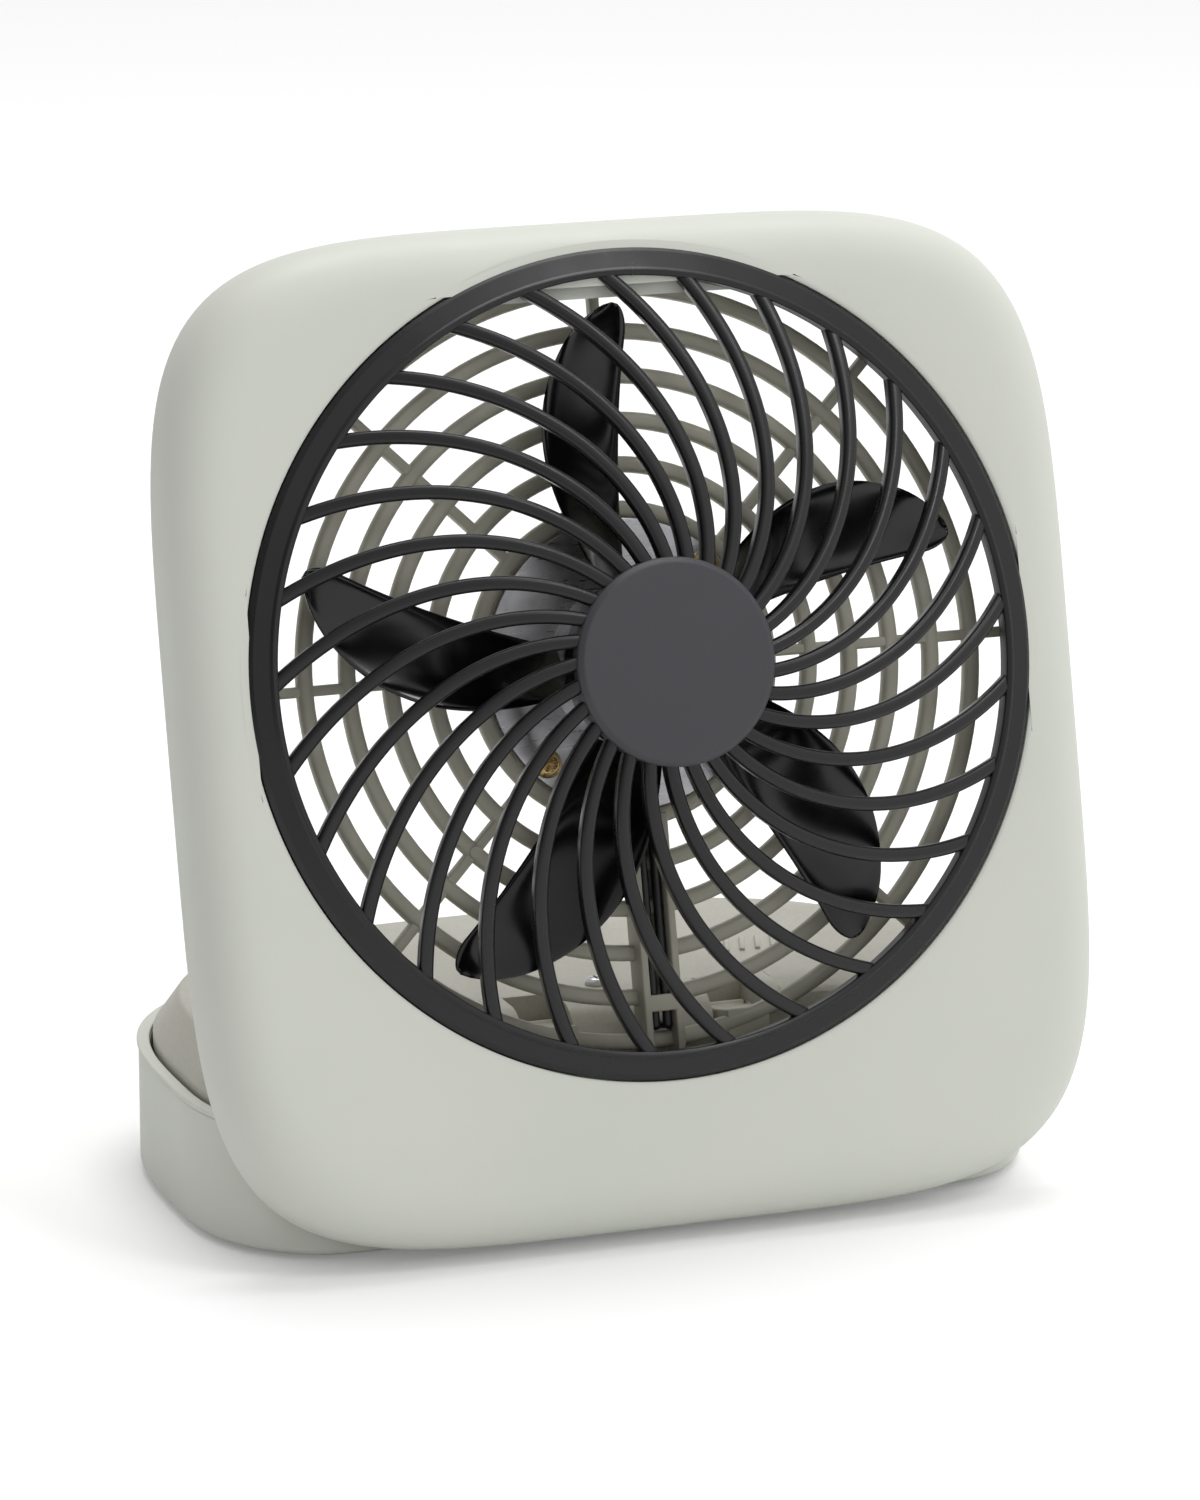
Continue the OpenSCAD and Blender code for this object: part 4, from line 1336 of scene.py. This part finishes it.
# ------------------------------------------------------------------ the stand
@dataclass
class StandCase:
    """The D-shaped battery stand: its tub and the lid with the cell hump."""

    half_w: float = 79.3
    middle_y: float = 28.04
    back: float = 66.0
    front: float = 43.0
    square: float = 3.0
    wall: float = 2.0
    bottom: float = 1.0
    rim: float = 23.5
    ledge: float = 2.0
    deck: float = 33.0
    deck_in: float = 7.0
    hump_top: float = 39.0
    hump_half: float = 67.0
    hump_back: float = 26.1
    hump_front: float = 48.0
    cut_depth: float = 16.8
    ring_z: float = 101.17
    lean: float = math.radians(13.6)
    steps: int = 300
    corner_power: float = 34.0
    hinge: Pair = (7.84, 31.5)  # y, z
    swing_r: float = 7.6
    window: Pair = (27.1, 12.94)  # half width, back edge
    switch_half: float = 8.4
    switch_levels: Pair = (9.6, 14.4)
    post_top: float = 18.0
    end_wall: Pair = (63.1, 1.5)  # distance from the middle, thickness
    end_wall_span: Triple = (15, 39, 27.8)  # front, back, top
    lid_screw_x: Pair = (-4, 9)
    rib_count: int = 5
    rib_place: Triple = (24, 3, 30)  # first x, pitch, y
    door: tuple[float, float, float, float] = (-63.6, 63.6, 9.54, 45.14)  # left, right, front, back
    screw_places: tuple[Pair, ...] = ((-56, 74.04), (56, 74.04), (-71.5, 30.04), (71.5, 30.04))

    def plane(self, depth: float, z: float) -> float:
        """The y of the slanted plane at a head depth.

        Args:
            depth: the plane's depth in the head's frame.
            z: the level.

        Returns:
            Its y in the stand's frame.
        """
        return (depth + math.sin(self.lean) * (z - self.ring_z)) / math.cos(self.lean)

    def clipped(self, reach: Outline, inset: float, z: float) -> list[Triple]:
        """An outline cut off by the slanted front plane, with soft corners.

        Args:
            reach: the outline.
            inset: how far the plane is drawn in.
            z: the level.

        Returns:
            The ring's points.
        """
        middle, edge = self.middle_y, self.plane(self.cut_depth + inset, z)

        def both(x: float, y: float) -> float:
            ahead = max(0.0, (middle - y) / (middle - edge))
            return (reach(x, y) ** self.corner_power + ahead ** self.corner_power) ** (1 / self.corner_power)
        return [(x, y, z) for x, y in ray_ring(both, (0, middle), self.steps)]

    def footprint(self, inset: float) -> Outline:
        """The stand's outline before the front plane cuts it off.

        Args:
            inset: how far it is drawn in.

        Returns:
            A function of x and y that is 1 on the outline and less inside.
        """
        half_w, middle = self.half_w - inset, (0, self.middle_y)
        ahead = power_outline(half_w, self.front - inset, self.square, middle)
        behind = power_outline(half_w, self.back - inset, self.square, middle)
        return lambda x, y: ahead(x, y) if y < self.middle_y else behind(x, y)

    def outline(self, inset: float, z: float, plane: float | None = None) -> list[Triple]:
        """Ring of the stand's outline.

        Args:
            inset: how far it is drawn in.
            z: its level.
            plane: how far the front plane is drawn in, if not as far.

        Returns:
            The ring's points.
        """
        return self.clipped(self.footprint(inset), inset if plane is None else plane, z)

    def hump(self, inset: float, z: float, plane: float) -> list[Triple]:
        """Ring of the hump's outline, kept inside the deck.

        Args:
            inset: how far it is drawn in.
            z: its level.
            plane: how far the front plane is drawn in.

        Returns:
            The ring's points.
        """
        middle = (0, self.middle_y)
        ahead = power_outline(self.hump_half - inset, self.hump_front - inset, 8, middle)
        behind = power_outline(self.hump_half - inset, self.hump_back - inset, 8, middle)
        deck = self.footprint(self.deck_in + 3.2 + inset)

        def reach(x: float, y: float) -> float:
            return max(ahead(x, y) if y < self.middle_y else behind(x, y), deck(x, y))
        return self.clipped(reach, plane, z)

    def swung_clear(self, ring: Sequence[Triple], radius: float) -> list[Triple]:
        """Lower the points of a ring that the head's back would sweep over as it folds.

        Args:
            ring: the ring's points.
            radius: the sweep's radius about the hinge axis.

        Returns:
            The ring, none of it above the sweep.
        """
        axis_y, axis_z = self.hinge
        clear = []
        for x, y, z in ring:
            if y < axis_y:
                drop = radius ** 2 - (y - axis_y) ** 2
                z = min(z, axis_z + math.sqrt(drop)) if drop > 0 else min(z, axis_z)
            clear.append((x, y, z))
        return clear

    def tub(self, shop: Workshop) -> None:
        """Build the tub: side wall, floor, screw wells and the battery opening.

        Args:
            shop: the shared workshop.
        """
        low, top, wall = self.bottom, self.rim, self.wall
        outer = filleted([(4, low), (0.0, low, 1.4), (0.0, top, 0.5), (wall, top, 0.3), (wall, low + 2, 0.8),
                          (6, low + 2)], closed=False)
        rings = [self.outline(i, z) for i, z in outer]
        solid = Shape().loft(rings)
        count = self.steps
        solid.faces.append(tuple(range(count - 1, -1, -1)))
        last = (len(rings) - 1) * count
        solid.faces.append(tuple(range(last, last + count)))
        tub = solid.mesh("tub")
        x0, x1, y0, y1 = self.door
        gap = Shape().box((x0, y0, -2), (x1, y1, 8))
        rear, (low_z, high_z) = self.middle_y + self.back, self.switch_levels
        gap.box((-self.switch_half, rear - 3.5, low_z), (self.switch_half, rear + 2, high_z))
        tub = cut_away("tub", tub, gap.mesh("openings"))
        well_r, well_top = 3.4, low + 3
        profile = [(0, -2), (well_r, -2), (well_r, well_top), (0, well_top)]
        well = Shape().turned(profile, 32, closed=False).mesh("well")
        well.transform(Matrix.Rotation(math.radians(90), 4, "X"))
        tub = cut_away("tub", tub, shop.copies("wells", well, [(x, y, 0) for x, y in self.screw_places]))
        bore, post_r, end = 1.6, 4.2, self.post_top
        post = filleted([(bore, low + 3), (post_r, low + 1), (post_r, end, 0.3), (bore, end, 0.3)])
        tower = Shape().turned(post, 32).mesh("post")
        tower.transform(Matrix.Rotation(math.radians(90), 4, "X"))
        posts = shop.copies("posts", tower, [(x, y, 0) for x, y in self.screw_places])
        (near, thick), (y_low, y_high, z_high) = self.end_wall, self.end_wall_span
        walls = Shape()
        for x in (-near - thick, near):
            walls.box((x, y_low, low + 0.5), (x + thick, y_high, z_high))
        whole = joined("stand_case", [tub, posts, walls.mesh("end_walls")])
        shop.piece("stand_case", whole, shop.stand, SHELL_ABS, Body.STAND, ["stand_tub"])

    def lid(self, shop: Workshop) -> None:
        """Build the lid: rim band, rising deck and cell hump, with the window for the hinge block.

        Args:
            shop: the shared workshop.
        """
        top, edge = self.rim, self.ledge
        over = 0.3
        band = filleted([(-over, top, 0.25), (-over, top + 0.8, 0.3), (edge - 0.1, top + 0.9, 0.3),
                         (edge - 0.1, top)])
        band_mesh = Shape().loft([self.outline(i, z) for i, z in band], wrap=True).mesh("band")
        start = edge + 0.5
        rise = filleted([(start, top - 0.2), (start, top + 2.6, 2.2), (self.deck_in, self.deck, 1.6),
                         (self.deck_in + 1.1, self.deck)], closed=False, steps=8)
        tall = filleted([(-1.5, self.deck, 0.8), (1.0, self.hump_top - 1.5, 1.2), (2.5, self.hump_top, 0.9),
                         (7, self.hump_top)], closed=False, steps=6)
        walls = []
        for inset in (0.0, self.wall):
            rings = [self.outline(i + inset, z - inset, inset + (i - start) / 20) for i, z in rise]
            rings += [self.hump(i + inset, z - inset, inset + 0.4 + (i + 1.5) / 5) for i, z in tall]
            rings += [[(x * k, self.middle_y + (y - self.middle_y) * k, z) for x, y, z in rings[-1]]
                      for k in (0.8, 0.6, 0.4, 0.2)]
            solid = Shape().loft([self.swung_clear(r, self.swing_r - inset) for r in rings], caps=True)
            walls.append(solid.mesh("lid_wall"))
        half, behind = self.window
        window = Shape().box((-half, -60, top - 5), (half, behind, 60)).mesh("window")
        shell = cut_away("lid_wall", cut_away("lid_wall", walls[0], walls[1]), window)
        band_mesh = cut_away("band", band_mesh, window.copy())
        shop.piece("stand_lid_shell", shell, shop.stand, LID_ABS, Body.STAND, ["stand_lid"])
        shop.piece("stand_rim_band", band_mesh, shop.stand, SHELL_ABS, Body.STAND)
        rib = Shape().box((-0.5, -4, -0.3), (0.5, 4, 0.5)).mesh("rib")
        rib.transform(Matrix.Rotation(math.radians(-20), 4, "Z"))
        first, pitch, rib_y = self.rib_place
        places = [(first + pitch * i, rib_y, self.hump_top) for i in range(self.rib_count)]
        ribs = shop.copies("grip_ribs", softened("rib", rib, 0.3), places)
        shop.piece("lid_grip_ribs", ribs, shop.stand, LID_ABS, Body.STAND)

    def build(self, shop: Workshop) -> None:
        """Build the stand's case and what is screwed to it.

        Args:
            shop: the shared workshop.
        """
        self.tub(shop)
        self.lid(shop)
        shop.refined("hinge_block", LID_ABS, Body.STAND)
        upright = Matrix.Rotation(math.radians(90), 4, "X")
        lid_screw = Screw(1.9, 1.3, 0.9, 5.5, 0.45).mesh("lid_screw")
        lid_screw.transform(upright)
        low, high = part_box("lid_screws")
        y = ((low.y + high.y) / 2) / MM - shop.stand.translation.y / MM
        places = [(x, y, self.hump_top) for x in self.lid_screw_x]
        screws = shop.copies("lid_screws_cross", lid_screw, places, (0, 0, 0.6))
        shop.piece("lid_screws_cross", screws, shop.stand, ZINC, Body.STAND, ["lid_screws"])
        base_screw = Screw(2.8, 1.8, 1.25, 18.5).mesh("base_screw")
        base_screw.transform(Matrix.Rotation(math.radians(-90), 4, "X"))
        places = [(x, y, self.bottom + 3) for x, y in self.screw_places]
        base = shop.copies("stand_screws_cross", base_screw, places, (0, 0, 0.7))
        shop.piece("stand_screws_cross", base, shop.stand, ZINC, Body.STAND, ["stand_screws"])


@dataclass
class StandInside:
    """What the stand holds: cells, contacts, switch, leads, door, feet and hinge hardware."""

    foot_r: float = 4.5
    foot_t: float = 1.0
    foot_places: tuple[Pair, ...] = ((-62, 8.04), (62, 8.04), (-44, 84.04), (44, 84.04))

    def build(self, shop: Workshop) -> None:
        """Build the feet and dress the rest.

        Args:
            shop: the shared workshop.
        """
        radius, thick = self.foot_r, self.foot_t
        profile = filleted([(0, 0), (radius, 0, 0.35), (radius, thick), (0, thick)], closed=False)
        foot = Shape().turned(profile, 40, closed=False).mesh("foot")
        foot.transform(Matrix.Rotation(math.radians(90), 4, "X"))
        feet = shop.copies("feet", foot, [(x, y, 0) for x, y in self.foot_places])
        shop.piece("feet_round", feet, shop.stand, FOOT_RUBBER, Body.STAND, ["feet"])
        shop.refined("battery_door", SHELL_ABS, Body.DOOR)
        shop.refined("switch_body", GRILLE_ABS, Body.STAND)
        shop.refined("switch_knob", GRILLE_ABS, Body.KNOB, 0.5)
        shop.refined("cells", CELL_FILM, Body.STAND, 0.8)
        for node, finish in (("hinge_pin", ZINC), ("hinge_washers", ZINC), ("spring_contact", ZINC),
                             ("plate_contact", ZINC), ("stand_leads", LEAD_PVC)):
            shop.dress(node, finish)


# ------------------------------------------------------------------ studio
@dataclass
class Studio:
    """A pale floor, soft lights and the camera."""

    azimuth: float = -20.39
    elevation: float = 14.28
    shift_right: float = 8.25
    shift_up: float = 15.19
    distance: float = 1157.99
    lens: float = 158.93
    room_left: float = 0.25
    room_right: float = 0.95
    paper_glow: float = 0.16

    def camera(self, aim: Vector) -> None:
        """Place the camera on a point of the object.

        Args:
            aim: the point that the camera's place is measured from, in metres.
        """
        turn, rise = math.radians(self.azimuth), math.radians(self.elevation)
        back = Vector((math.sin(turn) * math.cos(rise), -math.cos(turn) * math.cos(rise), math.sin(rise)))
        right = Vector((math.cos(turn), math.sin(turn), 0))
        up = back.cross(right)
        data = bpy.data.cameras.new("camera")
        data.lens, data.sensor_width = self.lens, 36.0
        data.clip_start, data.clip_end = 0.05, 50.0
        obj = bpy.data.objects.new("camera", data)
        obj.location = aim + (back * self.distance - right * self.shift_right - up * self.shift_up) * MM
        obj.rotation_euler = Matrix((right, up, back)).transposed().to_euler()
        bpy.context.scene.collection.objects.link(obj)
        bpy.context.scene.camera = obj

    def softbox(self, name: str, place: Triple, size: Pair, power: float, aim: Vector) -> None:
        """Hang one soft rectangular light.

        Args:
            name: the light's name.
            place: where it hangs, in metres.
            size: its width and height, in metres.
            power: its power in watts.
            aim: the point that it faces.
        """
        data = bpy.data.lights.new(name, "AREA")
        data.shape, data.size, data.size_y, data.energy = "RECTANGLE", size[0], size[1], power
        obj = bpy.data.objects.new(name, data)
        obj.location = place
        obj.rotation_euler = (Vector(place) - aim).to_track_quat("Z", "Y").to_euler()
        bpy.context.scene.collection.objects.link(obj)

    def build(self, aim: Vector) -> None:
        """Build the studio.

        Args:
            aim: the middle of the object.
        """
        world = bpy.data.worlds.new("pale_room")
        world.use_nodes = True
        tree = world.node_tree
        tree.nodes.clear()
        across = add(tree, "ShaderNodeSeparateXYZ",
                     {"Vector": add(tree, "ShaderNodeTexCoord").outputs["Generated"]}).outputs["X"]
        light = add(tree, "ShaderNodeMapRange", {"Value": across, "From Min": -0.9, "From Max": 0.3,
                                                 "To Min": self.room_left, "To Max": self.room_right})
        seen = add(tree, "ShaderNodeLightPath").outputs["Is Camera Ray"]
        strength = add(tree, "ShaderNodeMath", {0: light.outputs["Result"], 1: seen}, operation="MAXIMUM")
        room = add(tree, "ShaderNodeBackground", {"Color": (1, 1, 1, 1), "Strength": strength.outputs[0]})
        add(tree, "ShaderNodeOutputWorld", {"Surface": room.outputs[0]})
        bpy.context.scene.world = world
        bpy.context.scene.view_settings.view_transform = "Standard"
        floor = bpy.data.meshes.new("floor")
        reach = 8.0
        corners = [(-reach, -reach, 0), (reach, -reach, 0), (reach, reach, 0), (-reach, reach, 0)]
        floor.from_pydata(corners, [], [(0, 1, 2, 3)])
        paper = new_material("white_paper_sweep")
        tree = paper.node_tree
        seen = add(tree, "ShaderNodeLightPath").outputs["Is Camera Ray"]
        glow = add(tree, "ShaderNodeMath", {0: seen, 1: self.paper_glow}, operation="MULTIPLY")
        sheet = add(tree, "ShaderNodeBsdfPrincipled",
                    {"Base Color": linear("#F4F4F4"), "Roughness": 0.9, "Emission Color": (1, 1, 1, 1),
                     "Emission Strength": glow.outputs[0]})
        add(tree, "ShaderNodeOutputMaterial", {"Surface": sheet.outputs["BSDF"]})
        floor.materials.append(paper)
        obj = bpy.data.objects.new("floor", floor)
        bpy.context.scene.collection.objects.link(obj)
        self.softbox("key", (0.5, -1.0, 1.5), (0.35, 0.35), 4, aim)
        self.softbox("top", (0.2, 0.3, 1.6), (1.2, 0.8), 10, aim)
        self.camera(aim)


def main() -> None:
    """Build the fan, sub-assembly by sub-assembly, and the studio round it."""
    logging.basicConfig(level=logging.INFO, format="%(name)s: %(message)s")
    shop = Workshop.from_joints(frame["joints"])
    for assembly in (HeadShell(), SwirlGrille(), RearShell(), Impeller(), MotorGroup(), StandCase(),
                     StandInside()):
        LOG.info("building %s", type(assembly).__name__)
        assembly.build(shop)
    Studio().build(shop.head.translation.copy())


if __name__ == "__main__":
    main()
